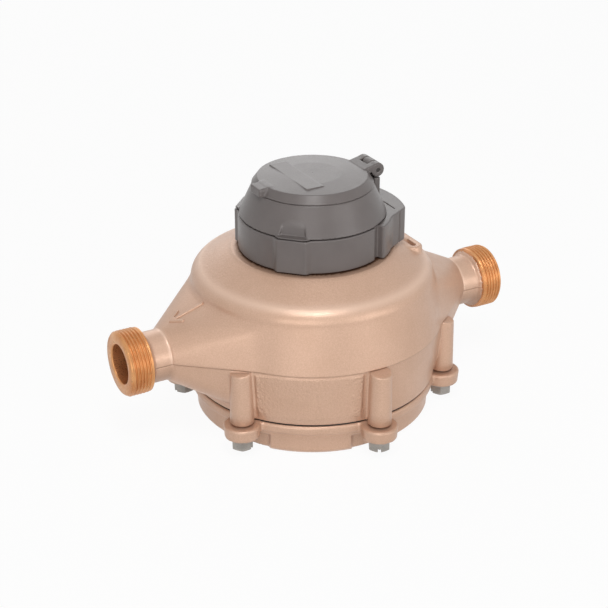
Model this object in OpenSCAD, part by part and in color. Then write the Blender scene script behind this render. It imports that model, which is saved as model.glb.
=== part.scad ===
// Disc water meter: cast bronze case, bolted bottom plate, nutating-disc chamber and covered register.
// Millimetres, +Z up, X along the flow axis (inlet at +X, outlet at -X), origin at the centre of the base.

/* [Case casting] */
// Length over both threaded spuds
laying_length = 273; // [262:1:290]
// Height of the spud axis above the base
axis_height = 58.7; // [58:0.1:60]
// Radius of the case at its parting line
case_radius = 84; // [83:0.5:85.5]
// Radius of the case at its bottom flange
flange_radius = 80; // [79:0.5:81]
// Height of the case's bottom face above the base
flange_height = 22.4; // [22:0.1:23]
// Height of the flat top above the base
case_height = 112; // [111.5:0.25:113]
// Radius of the flat top that the register stands on
flat_radius = 49.2; // [48.4:0.2:51]
// Slope of the top outside that flat, in degrees
top_slope = 28; // [26:0.5:29]
// Radius of the rounded shoulder
shoulder_radius = 11; // [9:0.5:13]
// Inward lean of the wall above the parting line
upper_draft = 5.4; // [4.5:0.1:6]
// Step back of the wall below the parting line
parting_step = 0.8; // [0.4:0.1:1.2]
// Thickness of the side wall
side_wall = 5; // [4.5:0.25:5.5]
// Width of the flat face at the flange
flange_width = 6; // [5.5:0.25:6.5]
// Thickness of the top wall that the magnets work through
top_wall = 6; // [5.5:0.25:6.5]
// Radius of the bayonet seat that holds the register
seat_radius = 27; // [25:0.5:30]

/* [Spuds] */
// Diameter over the spud thread
thread_diameter = 41.8; // [40:0.2:43]
// Length of the threaded stretch
thread_length = 14; // [12:0.5:16]
// Diameter of the water way
bore_diameter = 25.4; // [24:0.2:26.4]
// Diameter of the plain neck behind the thread
neck_diameter = 32.8; // [31.6:0.2:34]
// Length of the plain neck
neck_length = 12; // [10:0.5:14]
// Length of the tapered collar between thread and neck
collar_length = 3; // [2:0.5:4]
// Chamfer at the spud's end
spud_chamfer = 1.4; // [0.8:0.1:2]
// Step from the neck up to the cone of the port
cone_lip = 1; // [0.5:0.1:1.6]

/* [Bosses and bolts] */
// Distance of the bolt circle outside the flange
bolt_offset = 5.6; // [5:0.1:6.6]
// Radius of a bolt boss at its foot
boss_radius = 7.6; // [7:0.1:8]
// Height of a boss above its foot
boss_height = 37; // [34:1:40]
// Height of the sloping cap on a boss
boss_cap = 2.4; // [1.5:0.1:3]
// Shank diameter of a bolt
bolt_diameter = 7.9; // [7:0.1:8.4]
// Length of thread that a bolt has in its boss
bolt_grip = 26; // [20:1:28]
// Width of a bolt head across its flats
head_flats = 12.7; // [12:0.1:13.4]
// Height of the hexagon
head_height = 6.2; // [5:0.1:6.4]
// Thickness of the washer face under the hexagon
washer_face = 1.4; // [1:0.1:1.6]
// Width of the screwdriver slot
slot_width = 2; // [1.4:0.1:2.6]
// Depth of the screwdriver slot
slot_depth = 2.4; // [1.6:0.1:3]

/* [Bottom plate] */
// Height of the plate's round rim
rim_height = 6.5; // [5.5:0.1:7]
// Step of the pan in from the rim
pan_step = 3.5; // [2.5:0.25:4]
// Chamfer round the pan's foot
pan_chamfer = 2.6; // [1.5:0.1:3.5]
// Thickness of the plate's floor
floor_thickness = 8; // [7:0.25:9]
// Radius of a bolt ear
ear_radius = 11.8; // [11:0.1:12.2]
// Thickness of a bolt ear
ear_thickness = 9.2; // [8.8:0.1:9.4]
// Step of the ears below the rim
ear_step = 0.6; // [0.3:0.1:1]
// Radius of the hollow left round each bolt head
scallop_radius = 13.5; // [12:0.5:14.5]
// Thickness of the gasket under the case
gasket_thickness = 0.8; // [0.6:0.1:1]

/* [Measuring chamber] */
// Radius of the nutating disc
disc_radius = 54; // [52:0.5:54.5]
// Thickness of the disc
disc_thickness = 3; // [2.6:0.1:3.4]
// Tilt of the disc in degrees
disc_tilt = 13; // [12:0.25:13.5]
// Radius of the ball in the middle of the disc
ball_radius = 14; // [13:0.25:14.5]
// Radius of the spindle on the ball
spindle_radius = 2.5; // [2:0.1:2.7]
// Wall of the chamber
chamber_wall = 4; // [3.5:0.1:4.4]
// Thickness of the plate that divides the chamber
division_thickness = 1.2; // [1:0.1:1.6]
// Angle of that plate round the case, the outlet being at 180
division_angle = 152; // [150:1:154]
// Radius of the two round ports in the chamber wall
port_radius = 10; // [9:0.25:10.5]
// Outside radius of the outlet spout
spout_radius = 15; // [14:0.25:16]
// Thickness of the outlet seal
seal_thickness = 1.6; // [1.2:0.1:2]
// Slots in the strainer, all round
strainer_slots = 36; // [24:2:40]
// Width of a strainer slot
strainer_slot_width = 4; // [3:0.25:5]

/* [Magnet drive] */
// Thickness of a ring magnet
magnet_thickness = 5; // [4:0.25:5.5]
// Outside radius of the drive magnet
drive_magnet_radius = 14; // [12:0.5:14.5]
// Thickness of the carrier that the spindle turns
carrier_thickness = 7; // [6:0.25:7.5]
// Radius of the pivot that the carrier runs on
pivot_radius = 2; // [1.6:0.1:2.2]
// Wall of the cover over the drive
cover_wall = 2; // [1.6:0.1:2.4]

/* [Register housing] */
// Radius of the round wall
housing_radius = 47.5; // [47:0.25:48]
// Thickness of that wall
housing_wall = 4.6; // [4:0.1:5]
// Height of the rim that the lid closes on
housing_height = 21.2; // [20.8:0.1:22]
// Thickness of the floor
housing_floor = 2; // [1.6:0.1:2.2]
// Radius of the round outer face of the block beside the hinge
block_radius = 59.7; // [58.5:0.1:60.5]
// Half width of the block where its sides would reach that radius straight ahead
block_half_width = 21; // [20:0.25:22]
// Slope at which the block's sides widen towards the wall, in degrees
block_flare = 28; // [26:1:32]
// Depth of the thickened wall beside the block
band_depth = 3; // [2.5:0.1:3.4]
// Half angle over the thickened wall
band_half_angle = 59; // [56:1:62]
// Width of the flat pads on the wall
pad_width = 19; // [16:0.5:22]
// Depth of the flat pads
pad_depth = 1.6; // [1:0.1:2]

/* [Register lid] */
// Gap between the rim and the closed lid
lid_gap = 0.5; // [0.4:0.05:0.7]
// Radius of the lid at its lower edge
lid_radius = 47; // [46.5:0.1:47.2]
// Radius of the lid at the crease under its bevel
lid_crease_radius = 38.8; // [38:0.1:39.6]
// Height of that crease above the lower edge
lid_crease_height = 19.4; // [18.6:0.1:20]
// Overhang of the bevel at the crease
crease_step = 0.5; // [0.3:0.1:0.7]
// Radius of the top at the upper edge of the bevel
lid_top_radius = 35; // [34:0.1:36]
// Height of the bevel
lid_bevel_height = 5.1; // [4.6:0.1:5.6]
// Radius of the level middle of the top
lid_flat_radius = 18; // [16:0.5:20]
// Rise of the top from the bevel to that middle
lid_rise = 1.1; // [0.8:0.1:1.2]
// Thickness of the lid
lid_thickness = 2.2; // [1.8:0.1:2.6]
// Length and width of the bare raised panel on the top
panel_length = 49; // [44:0.5:52]
panel_width = 12; // [8:0.5:14]
// Distance of the panel's middle from the axis, towards the thumb tab
panel_offset = 11; // [10:0.5:14]
// Shift of the panel along the hinge's line
panel_shift = 1.8; // [0:0.1:2]
// Height of the panel above the level middle
panel_height = 0.1; // [0.1:0.05:0.2]
// Width of the thumb tab
tab_width = 15; // [12:0.5:18]
// Reach of the thumb tab beyond the crease
tab_reach = 2.2; // [1.8:0.1:3]
// Distance of the flat notches in the lid's side from the axis
notch_distance = 43.4; // [43:0.1:43.8]
// Width of these notches
notch_width = 16; // [14:0.5:18]

/* [Hinge] */
// Distance of the hinge from the axis
hinge_distance = 42.2; // [42:0.1:42.8]
// Height of the knuckles above the lid's top
hinge_rise = 2.9; // [2.6:0.1:3.1]
// Radius of the knuckles
knuckle_radius = 4.6; // [4.3:0.1:4.7]
// Overlap of the hinge arm on the lid's top
arm_overlap = 3; // [2.5:0.1:4]
// Height of the arm's low end above the rim of the top
arm_edge = 0.5; // [0.4:0.1:0.8]
// Half length over all knuckles
knuckle_half_length = 9.8; // [9.2:0.1:11]
// Half length of the middle knuckle on the housing
middle_half_length = 4; // [3.4:0.1:4.6]
// Radius of the hinge pin
pin_radius = 1.3; // [1:0.05:1.5]
// Thickness of the post that carries the middle knuckle
post_thickness = 4.6; // [4.2:0.1:5]

/* [Register] */
// Outside radius of the sealed can
can_radius = 41.5; // [40.5:0.25:42]
// Height of the can
can_height = 15.8; // [15.6:0.1:15.9]
// Wall of the can
can_wall = 1; // [0.8:0.1:1.2]
// Thickness of the lens
lens_thickness = 1.8; // [1.4:0.1:1.9]
// Thickness of the lens gasket
lens_gasket = 0.6; // [0.4:0.05:0.7]
// Thickness of the dial
dial_thickness = 0.8; // [0.6:0.05:0.9]
// Height of the movement under the dial
movement_height = 11; // [10.9:0.05:11.2]
// Radius of a number wheel
wheel_radius = 4.6; // [4.2:0.1:4.7]
// Width of a number wheel
wheel_width = 4.6; // [4:0.1:4.7]
// Distance between number wheels
wheel_pitch = 5; // [4.9:0.05:5.4]
// Gap between the follower magnet and the number wheels
wheel_clearance = 2.4; // [2:0.1:4]
// Radius of the number wheels' axle
axle_radius = 1; // [0.8:0.05:1.2]
// Radius that the sweep hand reaches
hand_length = 33; // [28:0.5:35]
// Half width of the hand at its boss
hand_half_width = 1.1; // [0.8:0.1:1.4]
// Thickness of the hand and of the flow indicator
hand_thickness = 0.5; // [0.4:0.05:0.6]
// Radius of the flow indicator
indicator_radius = 4; // [3.4:0.1:5]
// Radius of the follower magnet
follower_radius = 12; // [10:0.5:12.5]

/* [Seal lug] */
// Length of the raised lug on the inlet side of the top
lug_length = 57; // [52:0.5:60]
// Width of the lug
lug_width = 12; // [10:0.25:13]
// Distance of the lug from the axis
lug_distance = 62; // [61:0.25:63]
// Depth of the lug's face below the case's flat top
lug_drop = 6.2; // [5.6:0.1:6.6]
// Length and width of the slot in the lug
lug_slot_length = 11.4; // [9:0.2:13]
lug_slot_width = 3; // [2.4:0.1:3.6]

/* [Hidden] */
$fn = 96;
eps = 0.5;
snug = 0.02;
running = 0.06;
socket_gap = 0.1;
free_gap = 0.4;
bolt_count = 6;
wheel_count = 6;

function arc(cx, cy, r, from, to, steps) =
    [for (i = [0:steps]) let (a = from + (to - from) * i / steps) [cx + r * cos(a), cy + r * sin(a)]];

// Heights and radii of the casting
half_length = laying_length / 2;
thread_radius = thread_diameter / 2;
bore_radius = bore_diameter / 2;
neck_radius = neck_diameter / 2;
cone_radius = neck_radius + cone_lip;
cone_end = half_length - thread_length - collar_length - neck_length;
shoulder_outer = case_radius - upper_draft;
shoulder_middle = shoulder_outer - shoulder_radius;
shoulder_base = case_height - (shoulder_middle - flat_radius) * tan(top_slope)
    - shoulder_radius / cos(top_slope);
cavity_radius = flange_radius - flange_width;
cavity_top = case_height - top_wall;
cavity_round = shoulder_radius - side_wall;
cavity_flat = flat_radius + (top_wall - side_wall / cos(top_slope)) / tan(top_slope);
flare_radius = 2.6 * bore_radius;
cone_inset = 1.6;
cone_top = shoulder_base - 1;
cone_foot = flange_height + 4;
neck_root = cone_end - neck_length;
bolt_circle = flange_radius + bolt_offset;
bolt_radius = bolt_diameter / 2;
boss_draft = 0.6;
pan_radius = flange_radius - pan_step;
plate_top = flange_height - gasket_thickness;
rim_bottom = plate_top - rim_height;
ear_top = plate_top - ear_step;
ear_bottom = ear_top - ear_thickness;
head_bottom = ear_bottom - washer_face - head_height;
bolt_tip = flange_height + bolt_grip;

// Measuring chamber
rim_gap = 0.35;
cone_gap = 0.35;
sphere_radius = disc_radius + rim_gap;
chamber_radius = sphere_radius + chamber_wall;
cone_offset = disc_thickness / (2 * cos(disc_tilt)) + cone_gap;
chamber_half = sphere_radius * sin(disc_tilt) + cone_offset * cos(disc_tilt) + chamber_wall + 0.4;
tilt_radians = disc_tilt * PI / 180;
disc_slot = division_thickness + 2 * (disc_radius * pow(tilt_radians, 2) / 4
    + disc_thickness / 2 * sin(disc_tilt) + 0.3);
chamber_bottom = axis_height - chamber_half;
chamber_top = axis_height + chamber_half;
groove_depth = 1.5;
spindle_hole = chamber_half * tan(disc_tilt) + spindle_radius / cos(disc_tilt) + 1.4;
spout_end = chamber_radius + 5;
outlet_face = spout_end + seal_thickness;
outlet_boss = bore_radius + 4;
ledge_radius = chamber_radius + 6.5;
ledge_thickness = 2.5;
strainer_inner = chamber_radius + 3.5;
strainer_wall = 1.6;
stay_circle = 45;
stay_radius = 4.5;

// Magnet drive
cover_top = cavity_top - 0.6;
drive_magnet_top = cover_top - cover_wall - 0.5;
carrier_top = drive_magnet_top - magnet_thickness;
carrier_bottom = carrier_top - carrier_thickness;
carrier_radius = drive_magnet_radius + 1;
cover_inner = carrier_radius + 2;
spindle_length = (carrier_top - axis_height) / cos(disc_tilt) - spindle_radius * tan(disc_tilt);

// Register
rim_level = case_height + housing_height;
seat_height = housing_floor - 0.2;
tab_thickness = 0.45 * housing_floor;
bayonet_depth = 1.5;
lip_rise = tab_thickness + 0.1;
can_bottom = case_height + housing_floor;
can_top = can_bottom + can_height;
can_inner = can_radius - can_wall;
housing_inner = housing_radius - housing_wall;
band_radius = housing_radius + band_depth;
block_root = 0.6 * housing_radius;
lens_bottom = can_top + lens_gasket;
movement_bottom = can_bottom + can_wall;
dial_bottom = movement_bottom + movement_height;
dial_top = dial_bottom + dial_thickness;
movement_radius = can_inner - free_gap;
wheel_level = dial_bottom - free_gap - wheel_radius;
wheel_offset = follower_radius + wheel_radius + wheel_clearance;
wheel_row = wheel_pitch * wheel_count;
magnet_room = movement_bottom + magnet_thickness - 1;
follower_thickness = magnet_thickness - 2;
indicator_level = dial_top + 0.3;
hand_level = indicator_level + hand_thickness + 0.4;
arbor_radius = 0.8;
hand_tail = 0.3 * hand_length;
hand_boss = 2.4 * hand_half_width;
indicator_place = [-0.52 * hand_length, -0.36 * hand_length];

// Lid and hinge
lid_bottom = rim_level + lid_gap;
lid_crease = lid_bottom + lid_crease_height;
lid_top = lid_crease + lid_bevel_height;
hinge_level = lid_top + hinge_rise - knuckle_radius;
post_half_width = knuckle_half_length - 0.8;
post_top = hinge_level - knuckle_radius - 0.8;
post_face = hinge_distance + post_thickness / 2;
post_slot = hinge_distance - knuckle_radius - 2 * post_thickness;
knuckle_room = knuckle_radius + 0.5;

module spread_bolts() {
    for (i = [0:bolt_count - 1])
        rotate([0, 0, 30 + 360 / bolt_count * i])
            translate([bolt_circle, 0, 0])
                children();
}

module along_x(side, from, to, radius) {
    translate([side * from, 0, axis_height])
        rotate([0, side * 90, 0])
            cylinder(h = to - from, r = radius);
}

// Outer form of one port: a cone drawn out of the round body to the neck, then the spud
module port(side) {
    hull() {
        translate([side * (cone_end - 1), 0, axis_height])
            rotate([0, side * 90, 0])
                cylinder(h = 1, r = cone_radius, $fn = 40);
        translate([0, 0, cone_foot])
            cylinder(h = axis_height - cone_foot, r1 = flange_radius - boss_draft,
                     r2 = case_radius - cone_inset, $fn = 72);
        translate([0, 0, axis_height])
            cylinder(h = cone_top - axis_height, r1 = case_radius - cone_inset,
                     r2 = shoulder_outer - cone_inset, $fn = 72);
    }
    translate([0, 0, axis_height])
        rotate([0, side * 90, 0])
            rotate_extrude()
                polygon([[0, neck_root],
                         [neck_radius, neck_root],
                         [neck_radius, cone_end + neck_length],
                         [thread_radius, cone_end + neck_length + collar_length],
                         [thread_radius, half_length - spud_chamfer],
                         [thread_radius - spud_chamfer, half_length],
                         [0, half_length]]);
}

module case_body() {
    rotate_extrude()
        polygon(concat([[0, flange_height],
                        [flange_radius, flange_height],
                        [case_radius - parting_step, axis_height],
                        [case_radius, axis_height]],
                       arc(shoulder_middle, shoulder_base, shoulder_radius, 0, 90 - top_slope, 8),
                       [[flat_radius, case_height],
                        [0, case_height]]));
}

module case_cavity() {
    rotate_extrude()
        polygon(concat([[0, flange_height - eps],
                        [cavity_radius, flange_height - eps],
                        [cavity_radius, flange_height + 5],
                        [case_radius - side_wall, axis_height]],
                       arc(shoulder_middle, shoulder_base, cavity_round, 0, 90 - top_slope, 5),
                       [[cavity_flat, cavity_top],
                        [0, cavity_top]]));
    translate([0, 0, axis_height])
        rotate([0, 90, 0])
            cylinder(h = cone_end - side_wall, r1 = flare_radius, r2 = bore_radius);
}

// Three sectors of a disc, used for the bayonet's lips and tabs
module bayonet_sectors(level, height, radius, half_angle) {
    for (a = [60:120:300])
        rotate([0, 0, a])
            translate([0, 0, level])
                intersection() {
                    cylinder(h = height, r = radius);
                    linear_extrude(height)
                        polygon([[0, 0],
                                 [2 * radius, -2 * radius * tan(half_angle)],
                                 [2 * radius, 2 * radius * tan(half_angle)]]);
                }
}

module lug_outline(length, width) {
    square([width, length - width], center = true);
    for (end = [-1, 1])
        translate([0, end * (length - width) / 2])
            circle(d = width);
}

// The bronze casting: round body, two ports, six bolt bosses, register seat and slotted seal lug
module main_case() {
    color([0.80, 0.64, 0.52])
    union() {
        difference() {
            union() {
                case_body();
                port(1);
                port(-1);
                spread_bolts() {
                    translate([0, 0, flange_height])
                        cylinder(h = boss_height - boss_cap, r1 = boss_radius, r2 = boss_radius - boss_draft);
                    translate([0, 0, flange_height + boss_height - boss_cap])
                        cylinder(h = boss_cap, r1 = boss_radius - boss_draft, r2 = boss_radius - boss_cap);
                }
                translate([0, 0, case_height - eps])
                    cylinder(h = seat_height + eps, r = seat_radius - bayonet_depth);
                bayonet_sectors(case_height + lip_rise, seat_height - lip_rise, seat_radius, 25);
                translate([lug_distance, 0, case_height - lug_drop - 9])
                    linear_extrude(9)
                        lug_outline(lug_length, lug_width);
            }
            case_cavity();
            along_x(1, cavity_radius - side_wall, half_length + eps, bore_radius);
            along_x(-1, outlet_face - 2, half_length + eps, bore_radius);
            spread_bolts()
                translate([0, 0, flange_height - eps])
                    cylinder(h = bolt_grip + 1.5 + eps, r = bolt_radius + snug);
            translate([lug_distance, -lug_length / 3, case_height - lug_drop - 2.5])
                linear_extrude(2.5 + eps)
                    lug_outline(lug_slot_length, lug_slot_width);
        }
        difference() {
            along_x(-1, outlet_face, case_radius - side_wall + 2, outlet_boss);
            along_x(-1, outlet_face - eps, case_radius, bore_radius);
        }
    }
}

module bottom_gasket() {
    color([0.12, 0.12, 0.12])
    translate([0, 0, plate_top])
        difference() {
            cylinder(h = gasket_thickness, r = flange_radius - 1.4);
            translate([0, 0, -eps])
                cylinder(h = gasket_thickness + 2 * eps, r = cavity_radius + 0.4);
        }
}

// Round rim with six ears over a pan that is scalloped round each bolt head
module bottom_plate() {
    color([0.76, 0.60, 0.48])
    difference() {
        union() {
            translate([0, 0, rim_bottom])
                cylinder(h = rim_height, r = flange_radius);
            difference() {
                rotate_extrude()
                    polygon([[0, 0],
                             [pan_radius - pan_chamfer, 0],
                             [pan_radius, pan_chamfer],
                             [pan_radius + 1, rim_bottom + eps],
                             [0, rim_bottom + eps]]);
                spread_bolts()
                    translate([0, 0, -eps])
                        cylinder(h = ear_bottom + eps, r = scallop_radius);
            }
            spread_bolts()
                translate([0, 0, ear_bottom])
                    cylinder(h = ear_thickness, r1 = ear_radius - 0.8, r2 = ear_radius);
        }
        translate([0, 0, floor_thickness])
            cylinder(h = plate_top, r = cavity_radius - 3.5);
        spread_bolts()
            translate([0, 0, -eps])
                cylinder(h = plate_top + 2 * eps, r = bolt_radius + 0.3);
    }
}

// Six slotted hexagon bolts with a washer face
module case_bolts() {
    color([0.55, 0.55, 0.54])
    for (i = [0:bolt_count - 1])
        rotate([0, 0, 30 + 360 / bolt_count * i])
            translate([bolt_circle, 0, 0])
                rotate([0, 0, 35 + 47 * i])
                    difference() {
                        union() {
                            translate([0, 0, ear_bottom - washer_face])
                                cylinder(h = bolt_tip - ear_bottom + washer_face, r = bolt_radius);
                            translate([0, 0, ear_bottom - washer_face])
                                cylinder(h = washer_face, d = head_flats + 1);
                            translate([0, 0, head_bottom])
                                cylinder(h = head_height, d = head_flats / cos(30), $fn = 6);
                        }
                        translate([-head_flats, -slot_width / 2, head_bottom - eps])
                            cube([2 * head_flats, slot_width, slot_depth + eps]);
                    }
}

// Hollow of the chamber: two cones inside a sphere, with the ball's socket
module chamber_hollow() {
    reach = sphere_radius + 2;
    translate([0, 0, axis_height]) {
        intersection() {
            sphere(r = sphere_radius);
            rotate_extrude()
                polygon([[0, -cone_offset],
                         [reach, -cone_offset - reach * tan(disc_tilt)],
                         [reach, cone_offset + reach * tan(disc_tilt)],
                         [0, cone_offset]]);
        }
        sphere(r = ball_radius + socket_gap);
    }
}

// Outline of the dividing plate in a plane through the axis
module division_outline(grow) {
    far = sphere_radius + grow;
    near = ball_radius + 0.4;
    difference() {
        polygon([[0, -cone_offset - grow],
                 [far, -cone_offset - grow - far * tan(disc_tilt)],
                 [far, cone_offset + grow + far * tan(disc_tilt)],
                 [0, cone_offset + grow]]);
        circle(r = near);
    }
}

module division_slab(grow, thickness) {
    translate([0, 0, axis_height])
        rotate([0, 0, division_angle])
            rotate([90, 0, 0])
                translate([0, 0, -thickness / 2])
                    linear_extrude(thickness)
                        intersection() {
                            division_outline(grow);
                            translate([0, -chamber_half + 1.6])
                                square([chamber_radius, 2 * chamber_half - 3.2]);
                        }
}

module chamber_shell() {
    difference() {
        union() {
            translate([0, 0, chamber_bottom])
                cylinder(h = 2 * chamber_half, r = chamber_radius);
            along_x(-1, chamber_radius - 6, spout_end, spout_radius);
        }
        chamber_hollow();
        along_x(-1, disc_radius * 0.8, spout_end + eps, port_radius);
        translate([0, 0, axis_height])
            rotate([0, 0, 2 * division_angle - 180])
                rotate([0, 90, 0])
                    translate([0, 0, disc_radius * 0.8])
                        cylinder(h = chamber_radius, r = port_radius);
        division_slab(groove_depth, division_thickness + 2 * snug);
    }
}

// Lower half with the foot that stands on the plate and the ledge that the strainer sits on
module chamber_lower() {
    color([0.20, 0.21, 0.23])
    union() {
        intersection() {
            chamber_shell();
            translate([-laying_length, -laying_length, chamber_bottom])
                cube([2 * laying_length, 2 * laying_length, chamber_half]);
        }
        translate([0, 0, floor_thickness])
            difference() {
                cylinder(h = chamber_bottom - floor_thickness, r = chamber_radius);
                translate([0, 0, -eps])
                    cylinder(h = chamber_bottom - floor_thickness + 2 * eps, r = chamber_radius - 5);
            }
        translate([0, 0, chamber_bottom - ledge_thickness])
            difference() {
                cylinder(h = ledge_thickness, r = ledge_radius);
                translate([0, 0, -eps])
                    cylinder(h = ledge_thickness + 2 * eps, r = chamber_radius - 2);
            }
    }
}

// Upper half with the opening for the spindle and four stays that bear on the case
module chamber_upper() {
    color([0.24, 0.25, 0.27])
    difference() {
        union() {
            intersection() {
                chamber_shell();
                translate([-laying_length, -laying_length, axis_height])
                    cube([2 * laying_length, 2 * laying_length, chamber_half]);
            }
            for (a = [45:90:315])
                rotate([0, 0, a])
                    translate([stay_circle, 0, chamber_top - 1])
                        cylinder(h = cavity_top - chamber_top + 1 - 0.2, r = stay_radius);
        }
        translate([0, 0, axis_height + ball_radius / 2])
            cylinder(h = chamber_half, r = spindle_hole);
    }
}

module division_plate() {
    color([0.70, 0.71, 0.72])
    division_slab(groove_depth - 0.1, division_thickness);
}

module outlet_seal() {
    color([0.10, 0.10, 0.10])
    difference() {
        along_x(-1, spout_end, outlet_face, spout_radius);
        along_x(-1, spout_end - eps, outlet_face + eps, bore_radius);
    }
}

// Slotted sleeve round the chamber, open at the outlet spout
module strainer() {
    color([0.86, 0.86, 0.83])
    difference() {
        translate([0, 0, chamber_bottom])
            cylinder(h = 2 * chamber_half - 1, r = strainer_inner + strainer_wall);
        translate([0, 0, chamber_bottom - eps])
            cylinder(h = 2 * chamber_half + 2 * eps, r = strainer_inner);
        translate([-laying_length, -spout_radius - 3, chamber_bottom - eps])
            cube([laying_length, 2 * spout_radius + 6, 2 * chamber_half + 2 * eps]);
        for (i = [0:strainer_slots - 1])
            rotate([0, 0, 360 / strainer_slots * i])
                translate([strainer_inner - 2, -strainer_slot_width / 2, chamber_bottom + 5])
                    cube([strainer_wall + 4, strainer_slot_width, 2 * chamber_half - 11]);
    }
}

// Cup over the magnet drive with the pivot that the carrier runs on
module drive_cover() {
    color([0.30, 0.31, 0.33])
    union() {
        difference() {
            translate([0, 0, chamber_top])
                cylinder(h = cover_top - chamber_top, r = cover_inner + cover_wall);
            translate([0, 0, chamber_top - eps])
                cylinder(h = cover_top - cover_wall - chamber_top + eps, r = cover_inner);
        }
        translate([0, 0, carrier_bottom + 1.5])
            cylinder(h = cover_top - carrier_bottom - 2.5, r = pivot_radius);
    }
}

// Turned by the spindle, which runs in its slanting bore
module magnet_carrier() {
    color([0.88, 0.87, 0.82])
    difference() {
        translate([0, 0, carrier_bottom])
            cylinder(h = carrier_thickness, r = carrier_radius);
        translate([0, 0, carrier_bottom + 1])
            cylinder(h = carrier_thickness, r = pivot_radius + running);
        translate([0, 0, axis_height])
            rotate([0, disc_tilt, 0])
                cylinder(h = 2 * spindle_length, r = spindle_radius + running);
    }
}

module drive_magnet() {
    color([0.18, 0.18, 0.19])
    difference() {
        translate([0, 0, carrier_top])
            cylinder(h = magnet_thickness, r = drive_magnet_radius);
        translate([0, 0, carrier_top - eps])
            cylinder(h = magnet_thickness + 2 * eps, r = pivot_radius + 2);
    }
}

// Flat disc with a spherical rim, a ball at its middle and a slot that straddles the dividing plate
module nutating_disc() {
    color([0.15, 0.15, 0.16])
    translate([0, 0, axis_height])
        rotate([0, disc_tilt, 0])
            difference() {
                union() {
                    intersection() {
                        sphere(r = disc_radius);
                        translate([0, 0, -disc_thickness / 2])
                            cylinder(h = disc_thickness, r = disc_radius + 1);
                    }
                    sphere(r = ball_radius);
                }
                rotate([0, 0, division_angle])
                    translate([ball_radius + 0.3, -disc_slot / 2, -disc_thickness])
                        cube([disc_radius, disc_slot, 2 * disc_thickness]);
                cylinder(h = ball_radius + eps, r = spindle_radius + snug);
            }
}

module disc_spindle() {
    color([0.72, 0.72, 0.73])
    translate([0, 0, axis_height])
        rotate([0, disc_tilt, 0])
            cylinder(h = spindle_length, r = spindle_radius);
}

// Plan of the hinge block, and of the sector that the thickened wall beside it fills
module block_outline() {
    root_half = block_half_width + (block_radius - block_root) * tan(block_flare);
    intersection() {
        circle(r = block_radius);
        polygon([[block_root, -root_half],
                 [block_radius, -block_half_width],
                 [block_radius, block_half_width],
                 [block_root, root_half]]);
    }
    intersection() {
        circle(r = band_radius);
        polygon([[0, 0],
                 [2 * band_radius * cos(band_half_angle), -2 * band_radius * sin(band_half_angle)],
                 [2 * band_radius, -2 * band_radius * sin(band_half_angle)],
                 [2 * band_radius, 2 * band_radius * sin(band_half_angle)],
                 [2 * band_radius * cos(band_half_angle), 2 * band_radius * sin(band_half_angle)]]);
    }
}

// Round grey wall with a flared block and hinge post at +X and two flat pads at -X
module register_housing() {
    color([0.50, 0.49, 0.48])
    difference() {
        union() {
            translate([0, 0, case_height])
                cylinder(h = housing_height, r = housing_radius);
            translate([0, 0, case_height])
                linear_extrude(housing_height)
                    block_outline();
            for (a = [135, 225])
                rotate([0, 0, a])
                    translate([housing_radius - 6, -pad_width / 2, case_height])
                        cube([6 + pad_depth, pad_width, housing_height]);
            translate([post_face - post_thickness, -post_half_width, can_bottom])
                cube([post_thickness, 2 * post_half_width, post_top - can_bottom]);
            translate([post_face - post_thickness, -middle_half_length, post_top - eps])
                cube([post_thickness, 2 * middle_half_length, hinge_level - post_top + eps]);
            translate([hinge_distance, -middle_half_length, hinge_level])
                rotate([-90, 0, 0])
                    cylinder(h = 2 * middle_half_length, r = knuckle_radius);
        }
        translate([0, 0, can_bottom])
            cylinder(h = rim_level - can_bottom + eps, r = housing_inner);
        difference() {
            translate([0, 0, case_height - eps])
                cylinder(h = housing_floor + 2 * eps, r = seat_radius + free_gap);
            difference() {
                bayonet_sectors(case_height - eps, tab_thickness + eps, seat_radius + 1, 20);
                translate([0, 0, case_height - 2 * eps])
                    cylinder(h = tab_thickness + 4 * eps, r = seat_radius - bayonet_depth + free_gap);
            }
        }
        translate([hinge_distance, -knuckle_half_length, hinge_level])
            rotate([-90, 0, 0])
                cylinder(h = 2 * knuckle_half_length, r = pin_radius + snug);
    }
}

module hinge_pin() {
    color([0.66, 0.66, 0.67])
    translate([hinge_distance, -knuckle_half_length + 0.4, hinge_level])
        rotate([-90, 0, 0])
            cylinder(h = 2 * knuckle_half_length - 0.8, r = pin_radius);
}

// Drawn metal cup that seals the register
module register_can() {
    color([0.72, 0.48, 0.34])
    difference() {
        translate([0, 0, can_bottom])
            cylinder(h = can_height, r = can_radius);
        translate([0, 0, can_bottom + can_wall])
            cylinder(h = can_height, r = can_inner);
    }
}

module lens_gasket_ring() {
    color([0.10, 0.10, 0.10])
    difference() {
        translate([0, 0, can_top])
            cylinder(h = lens_gasket, r = can_radius);
        translate([0, 0, can_top - eps])
            cylinder(h = lens_gasket + 2 * eps, r = can_radius - 2.5);
    }
}

module register_lens() {
    color([0.80, 0.88, 0.90, 0.4])
    translate([0, 0, lens_bottom])
        cylinder(h = lens_thickness, r = can_radius + 0.8);
}

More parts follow.
